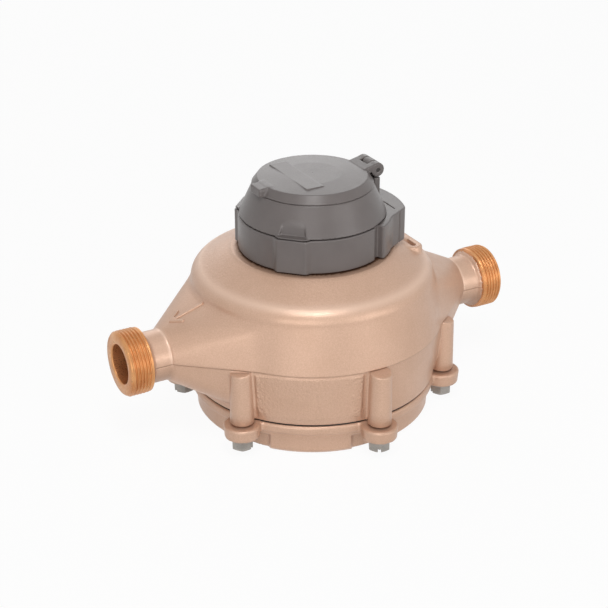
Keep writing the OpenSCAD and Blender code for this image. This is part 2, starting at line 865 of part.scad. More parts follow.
// Closed block that holds the gearing, with room for the magnet below and the number wheels above
module register_movement() {
    room = wheel_radius + free_gap;
    color([0.82, 0.81, 0.77])
    difference() {
        translate([0, 0, movement_bottom])
            cylinder(h = movement_height, r = movement_radius);
        translate([0, 0, movement_bottom - eps])
            cylinder(h = magnet_room - movement_bottom + eps, r = follower_radius + 1);
        translate([wheel_offset - room, -wheel_row / 2 - free_gap, wheel_level - room])
            cube([2 * room, wheel_row + 2 * free_gap, movement_height]);
        translate([wheel_offset, -wheel_row / 2 - 4, wheel_level])
            rotate([-90, 0, 0])
                cylinder(h = wheel_row + 8, r = axle_radius + snug);
        translate([0, 0, magnet_room - eps])
            cylinder(h = 3 + eps, r = axle_radius + running);
        translate([0, 0, dial_bottom - 3])
            cylinder(h = 3 + eps, r = arbor_radius + running);
        translate([indicator_place[0], indicator_place[1], dial_bottom - 3])
            cylinder(h = 3 + eps, r = arbor_radius + running);
    }
}

module dial_face() {
    color([0.95, 0.95, 0.93])
    difference() {
        translate([0, 0, dial_bottom])
            cylinder(h = dial_thickness, r = movement_radius);
        translate([wheel_offset - wheel_radius * 0.7, -wheel_row / 2, dial_bottom - eps])
            cube([wheel_radius * 1.4, wheel_row, dial_thickness + 2 * eps]);
        translate([0, 0, dial_bottom - eps])
            cylinder(h = dial_thickness + 2 * eps, r = arbor_radius + free_gap);
        translate([indicator_place[0], indicator_place[1], dial_bottom - eps])
            cylinder(h = dial_thickness + 2 * eps, r = arbor_radius + free_gap);
    }
}

module wheel_axle() {
    color([0.70, 0.70, 0.71])
    translate([wheel_offset, -wheel_row / 2 - 3.8, wheel_level])
        rotate([-90, 0, 0])
            cylinder(h = wheel_row + 7.6, r = axle_radius);
}

module number_wheel(place) {
    left = wheel_row / 2 - wheel_pitch * place + (wheel_pitch - wheel_width) / 2;
    color([0.16, 0.16, 0.17])
    translate([wheel_offset, left, wheel_level])
        rotate([-90, 0, 0])
            difference() {
                cylinder(h = wheel_width, r = wheel_radius);
                translate([0, 0, -eps])
                    cylinder(h = wheel_width + 2 * eps, r = axle_radius + running);
            }
}

module follower_magnet() {
    color([0.18, 0.18, 0.19])
    difference() {
        translate([0, 0, movement_bottom + 0.5])
            cylinder(h = follower_thickness, r = follower_radius);
        translate([0, 0, movement_bottom])
            cylinder(h = magnet_thickness, r = axle_radius + snug);
    }
}

module follower_spindle() {
    color([0.70, 0.70, 0.71])
    translate([0, 0, movement_bottom + 0.2])
        cylinder(h = magnet_room + 2.6 - movement_bottom - 0.2, r = axle_radius);
}

// Pointer with a round boss and a short tail, on its arbor
module sweep_hand() {
    color([0.75, 0.10, 0.08])
    union() {
        translate([0, 0, dial_bottom - 2.6])
            cylinder(h = hand_level + hand_thickness - dial_bottom + 2.6, r = arbor_radius);
        translate([0, 0, hand_level])
            linear_extrude(hand_thickness) {
                polygon([[-hand_tail, -1.3 * hand_half_width],
                         [0, -hand_half_width],
                         [hand_length - 2 * hand_half_width, -0.45 * hand_half_width],
                         [hand_length, 0],
                         [hand_length - 2 * hand_half_width, 0.45 * hand_half_width],
                         [0, hand_half_width],
                         [-hand_tail, 1.3 * hand_half_width]]);
                circle(r = hand_boss);
            }
    }
}

// Small star that shows the least flow
module flow_indicator() {
    points = 8;
    color([0.75, 0.10, 0.08])
    translate([indicator_place[0], indicator_place[1], 0])
        union() {
            translate([0, 0, dial_bottom - 2.6])
                cylinder(h = indicator_level + hand_thickness - dial_bottom + 2.6, r = arbor_radius);
            translate([0, 0, indicator_level])
                linear_extrude(hand_thickness)
                    polygon([for (i = [0:2 * points - 1])
                        let (r = i % 2 == 0 ? indicator_radius : indicator_radius * 0.55)
                        [r * cos(180 / points * i), r * sin(180 / points * i)]]);
        }
}

// Boxes behind the two flat notches in the lid's side, from a distance outwards
module notch_boxes(distance, width) {
    for (a = [135, 225])
        rotate([0, 0, a])
            translate([distance, -width / 2, lid_bottom - 1])
                cube([lid_radius, width, lid_crease_height]);
}

// Thin lid with a bevel, shallow cone top, bare panel, thumb tab, two side notches and two knuckles
module register_lid() {
    arm_start = lid_top_radius - arm_overlap;
    lid_middle = lid_top + lid_rise;
    color([0.52, 0.51, 0.50])
    difference() {
        union() {
            difference() {
                union() {
                    rotate_extrude()
                        polygon([[0, lid_bottom],
                                 [lid_radius, lid_bottom],
                                 [lid_crease_radius - crease_step, lid_crease],
                                 [lid_crease_radius, lid_crease],
                                 [lid_top_radius, lid_top],
                                 [lid_flat_radius, lid_middle],
                                 [0, lid_middle]]);
                    translate([0, tab_width / 2, 0])
                        rotate([90, 0, 0])
                            linear_extrude(tab_width)
                                polygon([[-lid_top_radius, lid_top],
                                         [-lid_crease_radius - tab_reach, lid_top - crease_step],
                                         [-lid_crease_radius - tab_reach, lid_crease - crease_step],
                                         [-lid_top_radius, lid_crease - crease_step]]);
                }
                difference() {
                    rotate_extrude()
                        polygon([[0, lid_bottom - eps],
                                 [lid_radius - lid_thickness, lid_bottom - eps],
                                 [lid_crease_radius - lid_thickness, lid_crease - 0.4],
                                 [lid_top_radius - lid_thickness, lid_top - lid_thickness],
                                 [0, lid_top - lid_thickness]]);
                    notch_boxes(notch_distance - lid_thickness, notch_width + 2 * lid_thickness);
                }
                notch_boxes(notch_distance, notch_width);
                translate([post_slot, -post_half_width - 0.6, lid_bottom - eps])
                    cube([lid_radius + eps - post_slot, 2 * post_half_width + 1.2,
                          hinge_level - 2.5 - lid_bottom + eps]);
            }
            translate([-panel_offset - panel_width / 2, panel_shift - panel_length / 2, lid_top - eps])
                cube([panel_width, panel_length, lid_rise + panel_height + eps]);
            translate([0, knuckle_half_length, 0])
                rotate([90, 0, 0])
                    linear_extrude(2 * knuckle_half_length)
                        polygon([[arm_start, hinge_level - 1],
                                 [hinge_distance, hinge_level - 1],
                                 [hinge_distance, hinge_level + knuckle_radius],
                                 [arm_start, lid_top + arm_edge]]);
            translate([hinge_distance, -knuckle_half_length, hinge_level])
                rotate([-90, 0, 0])
                    cylinder(h = 2 * knuckle_half_length, r = knuckle_radius);
        }
        translate([hinge_distance - knuckle_room, -middle_half_length - free_gap, hinge_level - knuckle_room])
            cube([2 * knuckle_room, 2 * (middle_half_length + free_gap), 2 * knuckle_room]);
        translate([hinge_distance, -knuckle_half_length - eps, hinge_level])
            rotate([-90, 0, 0])
                cylinder(h = 2 * knuckle_half_length + 2 * eps, r = pin_radius + running);
    }
}

main_case();
bottom_gasket();
bottom_plate();
case_bolts();
chamber_lower();
chamber_upper();
division_plate();
outlet_seal();
strainer();
drive_cover();
magnet_carrier();
drive_magnet();
nutating_disc();
disc_spindle();
register_housing();
hinge_pin();
register_can();
lens_gasket_ring();
register_lens();
register_movement();
dial_face();
wheel_axle();
follower_magnet();
follower_spindle();
sweep_hand();
flow_indicator();
number_wheel(1);  // number_wheel_1
number_wheel(2);  // number_wheel_2
number_wheel(3);  // number_wheel_3
number_wheel(4);  // number_wheel_4
number_wheel(5);  // number_wheel_5
number_wheel(6);  // number_wheel_6
register_lid();
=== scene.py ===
import bpy
import bmesh
import math
import numpy as np
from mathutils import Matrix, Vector


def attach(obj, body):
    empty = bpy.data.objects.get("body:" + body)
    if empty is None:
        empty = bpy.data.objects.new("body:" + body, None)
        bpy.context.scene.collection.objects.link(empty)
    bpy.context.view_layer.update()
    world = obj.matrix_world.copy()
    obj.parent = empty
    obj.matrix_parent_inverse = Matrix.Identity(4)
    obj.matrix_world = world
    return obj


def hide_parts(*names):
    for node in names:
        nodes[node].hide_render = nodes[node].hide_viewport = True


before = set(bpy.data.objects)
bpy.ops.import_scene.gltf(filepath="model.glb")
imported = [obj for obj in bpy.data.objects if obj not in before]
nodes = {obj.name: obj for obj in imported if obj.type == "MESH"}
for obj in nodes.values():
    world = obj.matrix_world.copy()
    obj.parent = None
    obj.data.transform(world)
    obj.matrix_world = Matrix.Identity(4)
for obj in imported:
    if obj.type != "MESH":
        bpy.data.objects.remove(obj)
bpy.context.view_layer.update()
mm = 0.001
print("frame loaded:", len(nodes), "nodes")

scene = bpy.context.scene
scene.view_settings.view_transform = "Standard"


# shader nodes: each input is a value, a colour or another node's socket
def addNode(tree, kind, inputs=None, **settings):
    node = tree.nodes.new("ShaderNode" + kind)
    for name, value in settings.items():
        setattr(node, name, value)
    for place, value in (inputs or {}).items():
        if isinstance(value, bpy.types.NodeSocket):
            tree.links.new(value, node.inputs[place])
        else:
            node.inputs[place].default_value = value
    return node


def combine(tree, operation, first, second):
    return addNode(tree, "Math", {0: first, 1: second}, operation=operation).outputs[0]


def seenDirectly(tree):
    path = addNode(tree, "LightPath").outputs
    sharp = combine(tree, "MAXIMUM", path["Is Camera Ray"], path["Is Glossy Ray"])
    return combine(tree, "MAXIMUM", sharp, path["Is Transmission Ray"])


white = (1, 1, 1, 1)


# camera, floor and light
cameraSetup = {
    "turn": -29.1096,       # degrees round the meter
    "rise": 26.0831,        # degrees above level
    "distance": 1.051036,
    "target": (-0.004731, 0.002634, 0.067745),
    "lens": 95.454,
    "sensor": 36,
}


def placeCamera(setup):
    turn, rise = math.radians(setup["turn"]), math.radians(setup["rise"])
    back = Vector((math.sin(turn) * math.cos(rise), -math.cos(turn) * math.cos(rise), math.sin(rise)))
    data = bpy.data.cameras.new("photoCamera")
    data.lens = setup["lens"]
    data.sensor_width = setup["sensor"]
    camera = bpy.data.objects.new("photoCamera", data)
    scene.collection.objects.link(camera)
    camera.location = Vector(setup["target"]) + back * setup["distance"]
    camera.rotation_euler = back.to_track_quat("Z", "Y").to_euler()
    scene.camera = camera


lightSetup = {
    "world": 0.24,
    "lamps": {
        "keyLamp": {"at": (-1.35, -1.75, 0.24), "size": 1.4, "watts": 17.2},
        "fillLamp": {"at": (0.85, -1.95, 0.24), "size": 1.4, "watts": 13.6},
        "topLamp": {"at": (-0.3, -0.58, 1.28), "size": 0.5, "watts": 6.6},
        "backLamp": {"at": (0.6, 1.7, 0.9), "size": 1.2, "watts": 6},
    },
    "aim": (0, 0, 0.07),
}


def placeLight(setup):
    world = bpy.data.worlds.new("studio")
    scene.world = world
    world.use_nodes = True
    tree = world.node_tree
    tree.nodes.clear()
    lit = addNode(tree, "Background", {"Color": white, "Strength": setup["world"]})
    seen = addNode(tree, "Background", {"Color": white, "Strength": 1})
    mix = addNode(tree, "MixShader", {0: seenDirectly(tree), 1: lit.outputs[0], 2: seen.outputs[0]})
    addNode(tree, "OutputWorld", {0: mix.outputs[0]})
    for name, lamp in setup["lamps"].items():
        data = bpy.data.lights.new(name, "AREA")
        data.size = lamp["size"]
        data.energy = lamp["watts"]
        item = bpy.data.objects.new(name, data)
        item.location = lamp["at"]
        back = Vector(lamp["at"]) - Vector(setup["aim"])
        item.rotation_euler = back.to_track_quat("Z", "Y").to_euler()
        scene.collection.objects.link(item)


floorSetup = {"half": 4.0, "level": -0.0002, "colour": (0.93, 0.93, 0.92, 1), "glow": 0.94}


def placeFloor(setup):
    half, level = setup["half"], setup["level"]
    mesh = bpy.data.meshes.new("floor")
    corners = [(-half, -half, level), (half, -half, level), (half, half, level), (-half, half, level)]
    mesh.from_pydata(corners, [], [(0, 1, 2, 3)])
    floor = bpy.data.objects.new("floor", mesh)
    scene.collection.objects.link(floor)
    mat = bpy.data.materials.new("floorPaper")
    mat.use_nodes = True
    tree = mat.node_tree
    tree.nodes.clear()
    paper = addNode(tree, "BsdfDiffuse", {"Color": setup["colour"]})
    glow = addNode(tree, "Emission", {"Color": white, "Strength": 1})
    share = combine(tree, "MULTIPLY", seenDirectly(tree), setup["glow"])
    mix = addNode(tree, "MixShader", {0: share, 1: paper.outputs[0], 2: glow.outputs[0]})
    addNode(tree, "OutputMaterial", {0: mix.outputs[0]})
    mesh.materials.append(mat)


placeCamera(cameraSetup)
placeLight(lightSetup)
placeFloor(floorSetup)
print("camera, light and floor placed")


# finishes
def startFinish(name):
    mat = bpy.data.materials.new(name)
    mat.use_nodes = True
    return mat, mat.node_tree, mat.node_tree.nodes["Principled BSDF"]


def grain(tree, size, detail=3, roughness=0.55, stretch=None):
    # size is the width of one lump in metres
    place = addNode(tree, "TexCoord").outputs["Object"]
    if stretch:
        place = addNode(tree, "Mapping", {"Vector": place, "Scale": stretch}).outputs["Vector"]
    noise = addNode(tree, "TexNoise", {"Vector": place, "Scale": 1 / size, "Detail": detail,
                                       "Roughness": roughness})
    return noise.outputs["Fac"]


def spread(tree, source, low, high, fromLow=0.3, fromHigh=0.7):
    limits = {"From Min": fromLow, "From Max": fromHigh, "To Min": low, "To Max": high}
    return addNode(tree, "MapRange", {"Value": source, **limits}).outputs["Result"]


def between(tree, factor, first, second):
    # 6 and 7 are the node's two colour places
    return addNode(tree, "Mix", {"Factor": factor, 6: first, 7: second}, data_type="RGBA").outputs[2]


def relief(tree, shader, height, depth):
    bump = addNode(tree, "Bump", {"Height": height, "Strength": 1, "Distance": depth})
    tree.links.new(bump.outputs["Normal"], shader.inputs["Normal"])


def marked(tree, name):
    # reads a value that the piece keeps at each of its points
    return addNode(tree, "Attribute", attribute_name=name).outputs["Fac"]


def colour(red, green, blue):
    # from screen values 0..255
    def part(value):
        value = value / 255
        return value / 12.92 if value <= 0.04045 else ((value + 0.055) / 1.055) ** 2.4
    return (part(red), part(green), part(blue), 1)


castSetup = {
    "pale": colour(213, 177, 153), "deep": colour(202, 165, 141), "stain": colour(186, 147, 120),
    # the dark colour here is the colour of painted shade on the case
    # the pale colour here is the colour of painted highlights on the case
    "paintedShade": colour(92, 60, 40), "paintedHighlight": colour(238, 206, 184),
    "metal": 0.32, "sand": 0.0008, "lump": 0.004, "cloud": 0.03, "coarse": 0.0018, "coarseDepth": 20,
    "roughLow": 0.33, "roughHigh": 0.44, "depth": 0.00007,
    "sandSpan": (0.36, 0.66), "stainShare": 0.28, "stainSpan": (0.45, 0.75),
    "sandHeight": 0.7, "lumpHeight": 0.9,
}


def castBronze(name, setup, shade=1.0):
    mat, tree, shader = startFinish(name)
    sand = grain(tree, setup["sand"], 4, 0.6)
    lump = grain(tree, setup["lump"], 3)
    cloud = grain(tree, setup["cloud"], 2)
    dim = tuple(value * shade for value in setup["pale"][:3]) + (1,)
    dimDeep = tuple(value * shade for value in setup["deep"][:3]) + (1,)
    base = between(tree, spread(tree, sand, 0, 1, *setup["sandSpan"]), dimDeep, dim)
    stained = spread(tree, cloud, 0, setup["stainShare"], *setup["stainSpan"])
    base = between(tree, stained, base, setup["stain"])
    # painted shade, where a piece's marks ask for it
    base = between(tree, marked(tree, "paintedShade"), base, setup["paintedShade"])
    # painted highlight, where a piece's marks ask for it
    base = between(tree, marked(tree, "paintedHighlight"), base, setup["paintedHighlight"])
    tree.links.new(base, shader.inputs["Base Color"])
    shader.inputs["Metallic"].default_value = setup["metal"]
    tree.links.new(spread(tree, lump, setup["roughLow"], setup["roughHigh"]), shader.inputs["Roughness"])
    fine = combine(tree, "MULTIPLY", sand, setup["sandHeight"])
    height = combine(tree, "ADD", fine, combine(tree, "MULTIPLY", lump, setup["lumpHeight"]))
    coarse = combine(tree, "MULTIPLY", grain(tree, setup["coarse"], 3, 0.6), marked(tree, "rough"))
    height = combine(tree, "ADD", height, combine(tree, "MULTIPLY", coarse, setup["coarseDepth"]))
    relief(tree, shader, height, setup["depth"])
    return mat


machinedSetup = {
    "pale": colour(224, 167, 112), "deep": colour(198, 134, 82), "metal": 0.6,
    "cut": 0.0009, "cutStretch": (2.2, 0.25, 0.25), "cutShare": 0.4, "cloud": 0.012,
    "roughLow": 0.26, "roughHigh": 0.42, "depth": 0.00004,
}


def machinedBronze(name, setup):
    mat, tree, shader = startFinish(name)
    cut = grain(tree, setup["cut"], 2, 0.5, setup["cutStretch"])
    cloud = grain(tree, setup["cloud"], 2)
    base = between(tree, spread(tree, cloud, 0, 1), setup["deep"], setup["pale"])
    base = between(tree, spread(tree, cut, 0, setup["cutShare"]), base, setup["deep"])
    tree.links.new(base, shader.inputs["Base Color"])
    shader.inputs["Metallic"].default_value = setup["metal"]
    tree.links.new(spread(tree, cut, setup["roughLow"], setup["roughHigh"]), shader.inputs["Roughness"])
    relief(tree, shader, cut, setup["depth"])
    return mat


mouldingSetup = {
    "pale": colour(110, 103, 101), "deep": colour(102, 95, 93), "grainSize": 0.0007, "cloud": 0.02,
    "roughLow": 0.29, "roughHigh": 0.40, "depth": 0.00005,
}


fineSetup = {"share": 0.35, "span": (0.4, 0.7)}      # how far the fine grain darkens a plain finish


def moulded(name, setup, metal=0.0):
    mat, tree, shader = startFinish(name)
    fine = grain(tree, setup["grainSize"], 2)
    cloud = grain(tree, setup["cloud"], 2)
    base = between(tree, spread(tree, cloud, 0, 1), setup["deep"], setup["pale"])
    base = between(tree, spread(tree, fine, 0, fineSetup["share"], *fineSetup["span"]), base, setup["deep"])
    tree.links.new(base, shader.inputs["Base Color"])
    shader.inputs["Metallic"].default_value = metal
    tree.links.new(spread(tree, fine, setup["roughLow"], setup["roughHigh"]), shader.inputs["Roughness"])
    relief(tree, shader, fine, setup["depth"])
    return mat


def tone(pale, deep, rough):
    return {"pale": pale, "deep": deep, "grainSize": 0.0008, "cloud": 0.015,
            "roughLow": rough - 0.06, "roughHigh": rough + 0.08, "depth": 0.00004}


lensSetup = {"tint": (0.96, 0.98, 0.98, 1), "index": 1.49, "smear": 0.02, "haze": (0.01, 0.07)}


def clearLens(name, setup):
    mat, tree, shader = startFinish(name)
    shader.inputs["Base Color"].default_value = setup["tint"]
    shader.inputs["Transmission Weight"].default_value = 1
    shader.inputs["IOR"].default_value = setup["index"]
    haze = grain(tree, setup["smear"], 2)
    tree.links.new(spread(tree, haze, *setup["haze"]), shader.inputs["Roughness"])
    return mat


finishes = {
    "caseBronze": castBronze("caseBronze", castSetup),
    "plateBronze": castBronze("plateBronze", castSetup, 0.97),
    "threadBronze": machinedBronze("threadBronze", machinedSetup),
    "registerGrey": moulded("registerGrey", mouldingSetup),
    "clearLens": clearLens("clearLens", lensSetup),
}
plainFinishes = {       # pale tone, deep tone, roughness, metal
    "boreBronze": ((224, 158, 108), (184, 124, 80), 0.3, 0.55),
    "boltSteel": ((186, 181, 175), (146, 141, 135), 0.32, 0.4),
    "darkPin": ((70, 66, 64), (48, 46, 44), 0.42, 0.6),
    "pinSteel": ((176, 174, 170), (150, 148, 144), 0.3, 0.9),
    "blackRubber": ((40, 40, 40), (28, 28, 28), 0.7, 0),
    "chamberPlastic": ((66, 68, 72), (54, 56, 60), 0.5, 0),
    "palePlastic": ((226, 225, 216), (208, 206, 196), 0.45, 0),
    "darkMagnet": ((58, 58, 60), (42, 42, 44), 0.42, 0.3),
    "discRubber": ((44, 44, 46), (34, 34, 36), 0.46, 0),
    "drawnCopper": ((206, 146, 104), (178, 116, 78), 0.3, 0.9),
    "dialWhite": ((244, 243, 238), (232, 231, 226), 0.5, 0),
    "printBlack": ((34, 34, 36), (22, 22, 24), 0.55, 0),
    "handRed": ((204, 36, 30), (170, 22, 20), 0.36, 0),
    "wheelBlack": ((40, 40, 42), (28, 28, 30), 0.46, 0),
    "digitWhite": ((240, 240, 236), (220, 220, 214), 0.5, 0),
}
for name, (pale, deep, rough, metal) in plainFinishes.items():
    finishes[name] = moulded(name, tone(colour(*pale), colour(*deep), rough), metal)

nodeFinish = {
    "bottom_gasket": "blackRubber", "chamber_lower": "chamberPlastic", "chamber_upper": "chamberPlastic",
    "division_plate": "pinSteel", "outlet_seal": "blackRubber", "strainer": "palePlastic",
    "drive_cover": "chamberPlastic", "magnet_carrier": "palePlastic", "drive_magnet": "darkMagnet",
    "nutating_disc": "discRubber", "disc_spindle": "pinSteel", "hinge_pin": "darkPin",
    "register_can": "drawnCopper", "lens_gasket_ring": "blackRubber", "register_lens": "clearLens",
    "register_movement": "palePlastic", "dial_face": "dialWhite", "wheel_axle": "pinSteel",
    "follower_magnet": "darkMagnet", "follower_spindle": "pinSteel", "sweep_hand": "handRed",
    "flow_indicator": "handRed",
}
for wheel in range(1, 7):
    nodeFinish[f"number_wheel_{wheel}"] = "wheelBlack"
for node, finish in nodeFinish.items():
    nodes[node].data.materials.clear()
    nodes[node].data.materials.append(finishes[finish])
print("finishes made:", len(finishes))


# soft-edged castings: a distance field is walked cell by cell and its skin is drawn back to zero
def softUnion(first, second, blend):
    mix = np.clip(0.5 + 0.5 * (second - first) / blend, 0, 1)
    return second + (first - second) * mix - blend * mix * (1 - mix)


def softMeet(first, second, blend):
    return -softUnion(-first, -second, blend)


def profileDistance(across, up, corners):
    best = np.full(across.shape, 1e12, across.dtype)
    inside = np.zeros(across.shape, bool)
    for (ax, ay), (bx, by) in zip(corners, corners[1:] + corners[:1]):
        ex, ey = bx - ax, by - ay
        wx, wy = across - ax, up - ay
        t = np.clip((wx * ex + wy * ey) / (ex * ex + ey * ey), 0, 1)
        best = np.minimum(best, (wx - ex * t) ** 2 + (wy - ey * t) ** 2)
        if ey:
            inside ^= ((ay <= up) != (by <= up)) & (across < ax + ex * (up - ay) / ey)
    return np.where(inside, -1, 1) * np.sqrt(best)


def insetCorners(corners, depth):
    # corners of a convex outline, run anticlockwise
    lines = []
    for (ax, ay), (bx, by) in zip(corners, corners[1:] + corners[:1]):
        ex, ey = bx - ax, by - ay
        length = math.hypot(ex, ey)
        lines.append((-ey / length, ex / length, (-ey * ax + ex * ay) / length + depth))
    moved = []
    for (a, b, c), (d, e, f) in zip(lines[-1:] + lines[:-1], lines):
        scale = a * e - b * d
        moved.append(((c * e - b * f) / scale, (a * f - c * d) / scale))
    return moved


def roundedProfile(across, up, corners, radius):
    return profileDistance(across, up, insetCorners(corners, radius)) - radius


def roundedBox(x, y, z, low, high, radius):
    middle = [(a + b) / 2 for a, b in zip(low, high)]
    half = [(b - a) / 2 - radius for a, b in zip(low, high)]
    away = [np.abs(p - m) - h for p, m, h in zip((x, y, z), middle, half)]
    outside = np.sqrt(sum(np.maximum(a, 0) ** 2 for a in away))
    return outside + np.minimum(np.maximum(np.maximum(away[0], away[1]), away[2]), 0) - radius


def column(x, y, z, low, high, radius, edge):
    across = np.sqrt(x * x + y * y) - (radius - edge)
    up = np.abs(z - (low + high) / 2) - ((high - low) / 2 - edge)
    outside = np.sqrt(np.maximum(across, 0) ** 2 + np.maximum(up, 0) ** 2)
    return outside + np.minimum(np.maximum(across, up), 0) - edge


def turnedBy(x, y, degrees):
    c, s = math.cos(math.radians(degrees)), math.sin(math.radians(degrees))
    return c * x + s * y, -s * x + c * y


def steps(low, high, cell, fine=()):
    # grid lines with a closer spacing where fine says (from, to, cell)
    lines, at = [low], low
    while at < high:
        size = cell
        for start, end, small in fine:
            if start - cell < at < end:
                size = small
        at += size
        lines.append(at)
    return np.array(lines)


boltTurns = [30 + 60 * n for n in range(6)]
corner8 = [(i, j, k) for i in (0, 1) for j in (0, 1) for k in (0, 1)]
edge12 = [(a, b) for a in range(8) for b in range(a + 1, 8)
          if sum(p != q for p, q in zip(corner8[a], corner8[b])) == 1]


def grids(form):
    # lines of a piece's own box, closer where its form says so
    fine = form.get("fine", ((), (), ()))
    return [steps(*reach, form["cell"], near) for reach, near in zip(form["grid"], fine)]


walkSetup = {"block": 400000, "pulls": 4, "span": 0.04, "flattest": 0.05, "reach": 0.5}


def skin(field, xs, ys, zs):
    # walks the grid in slabs along x, then joins one point per crossed cell
    values = np.empty((len(xs), len(ys), len(zs)), np.float32)
    rows = max(1, int(walkSetup["block"] / (len(ys) * len(zs))))
    for start in range(0, len(xs), rows):
        block = np.meshgrid(xs[start:start + rows], ys, zs, indexing="ij")
        values[start:start + rows] = field(*[b.astype(np.float32) for b in block])
    inside = values < 0
    count = np.zeros(tuple(n - 1 for n in inside.shape), np.int8)
    for i, j, k in corner8:
        count += inside[i:i + count.shape[0], j:j + count.shape[1], k:k + count.shape[2]]
    crossed = (count > 0) & (count < 8)
    cells = np.argwhere(crossed)
    number = np.full(count.shape, -1, np.int64)
    number[crossed] = np.arange(len(cells))
    lines = (xs, ys, zs)
    corners, levels = [], []
    for step in corner8:
        at = cells + np.array(step)
        corners.append(np.stack([lines[n][at[:, n]] for n in range(3)], 1))
        levels.append(values[at[:, 0], at[:, 1], at[:, 2]].astype(float))
    total, hits = np.zeros((len(cells), 3)), np.zeros(len(cells))
    for a, b in edge12:
        cut = (levels[a] < 0) != (levels[b] < 0)
        share = np.where(cut, levels[a] / np.where(cut, levels[a] - levels[b], 1), 0)
        total += cut[:, None] * (corners[a] + share[:, None] * (corners[b] - corners[a]))
        hits += cut
    points = total / hits[:, None]
    faces = []
    for axis in range(3):
        one, two = (axis + 1) % 3, (axis + 2) % 3
        low = [slice(None)] * 3
        high = [slice(None)] * 3
        low[axis], high[axis] = slice(0, -1), slice(1, None)
        change = inside[tuple(low)] != inside[tuple(high)]
        edges = np.argwhere(change)
        keep = np.all([(edges[:, n] > 0) & (edges[:, n] < count.shape[n]) for n in (one, two)], 0)
        edges = edges[keep]
        starts = inside[edges[:, 0], edges[:, 1], edges[:, 2]]
        ring = []
        for back1, back2 in ((1, 1), (0, 1), (0, 0), (1, 0)):
            at = edges.copy()
            at[:, one] -= back1
            at[:, two] -= back2
            ring.append(number[at[:, 0], at[:, 1], at[:, 2]])
        ring = np.stack(ring, 1)
        ring[~starts] = ring[~starts][:, ::-1]
        faces.append(ring)
    faces = np.concatenate(faces)
    span = walkSetup["span"]
    reach = walkSetup["reach"] * min(xs[1] - xs[0], ys[1] - ys[0])
    for pull in range(walkSetup["pulls"]):
        x, y, z = points.T
        level = field(x, y, z)
        slope = np.stack([field(x + span, y, z) - field(x - span, y, z),
                          field(x, y + span, z) - field(x, y - span, z),
                          field(x, y, z + span) - field(x, y, z - span)], 1) / (2 * span)
        size = np.maximum((slope ** 2).sum(1), walkSetup["flattest"])
        move = -slope * (level / size)[:, None]
        length = np.sqrt((move ** 2).sum(1))
        move *= np.minimum(1, reach / np.maximum(length, 1e-9))[:, None]
        points = points + move
    return points, faces


def gather(parts):
    points, faces, count = [], [], 0
    for some, shown in parts:
        points.append(some)
        faces += [[corner + count for corner in face] for face in shown]
        count += len(some)
    return np.concatenate(points), faces


def makePiece(name, points, faces, finish, body, replaced=(), smooth=True, marks=None, crisp=None):
    # points in millimetres
    mesh = bpy.data.meshes.new(name)
    mesh.from_pydata((np.asarray(points) * mm).tolist(), [], [list(f) for f in faces])
    mesh.update()
    piece = bpy.data.objects.new(name, mesh)
    scene.collection.objects.link(piece)
    for mark, values in (marks or {}).items():
        layer = mesh.attributes.new(mark, "FLOAT", "POINT")
        layer.data.foreach_set("value", np.asarray(values, np.float32))
    for item in finish if isinstance(finish, (list, tuple)) else [finish]:
        mesh.materials.append(finishes[item])
    if smooth:
        mesh.polygons.foreach_set("use_smooth", [True] * len(mesh.polygons))
    if crisp:
        mesh.set_sharp_from_angle(angle=math.radians(crisp))
    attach(piece, body)
    if replaced:
        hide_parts(*replaced)
    print(name, "built:", len(mesh.vertices), "points,", len(mesh.polygons), "faces")
    return piece


# the case
caseForm = {
    "axis": 58.7, "foot": 22.4, "footRadius": 80, "radius": 84, "step": 0.8,
    "shoulder": (67.6, 89.8, 11), "slope": 28, "flatRadius": 49.2, "top": 112,
    "ringInner": 45.2, "ringDeep": 1.4,       # shallow ring under the register's wall
    "coneEnd": 107.5, "coneRadius": 17.4, "coneRings": ((26.4, 79.4), (58.7, 82.4), (88.8, 77.0)),
    "coneStart": 48, "coneStep": 0.7, "coneCount": 144,
    "blendLow": 1.0, "blendHigh": 2.0, "blendFrom": 2, "blendOver": 18,       # where a cone meets the bowl
    "neck": 16.4, "neckStart": 90, "neckEnd": 119.5, "collar": 20.4, "collarEnd": 122.5, "neckBlend": 1.3,
    "bore": 12.7, "inletBore": 70, "flare": 33.0, "flareEnd": 102.5, "outletFace": 64.95, "outletBoss": 16.7,
    "cavity": ((0, 21), (74, 21), (74, 27.4), (79, 58.7)), "cavityRound": 6,
    "cavityTop": ((49.8, 106), (0, 106)),
    "bossCircle": 85.6, "boss": 7.6, "bossTop": 59.4, "bossDraft": 0.6, "bossBlend": 2.4, "bossRoot": 0.5,
    "postDrop": 3, "postEdge": 1.6, "postFoot": 0.6, "postFootEdge": 0.8,       # cores of the bosses
    "seam": 0.5, "footRound": 2.2, "hole": 3.97, "holeTop": 49.9,
    "lugAt": 62, "lugHalf": 22.5, "lugWidth": 12, "lugTop": 105.8, "lugFoot": 92,
    "lugEdge": 1.6, "lugBlend": 1.8,
    "slotAt": -19, "slotHalf": 4.2, "slotWidth": 3, "slotDeep": 2.5, "slotEdge": 0.6,
    "seat": 25.5, "seatLow": 108, "seatTop": 113.8,
    "upperCell": 1.2, "lowerCell": 1.1, "long": (-124, 124), "wide": (-96, 96),       # grids
    "upperTall": (56.9, 116), "upperFine": ((58.0, 59.6, 0.25), (109.8, 112.6, 0.5)),
    "lowerTall": (19, 60.5), "lowerFine": ((57.8, 59.4, 0.25),),
    "coneFine": ((-109, -106, 0.5), (106, 109, 0.5)), "lugFine": ((55, 69, 0.9),),
}


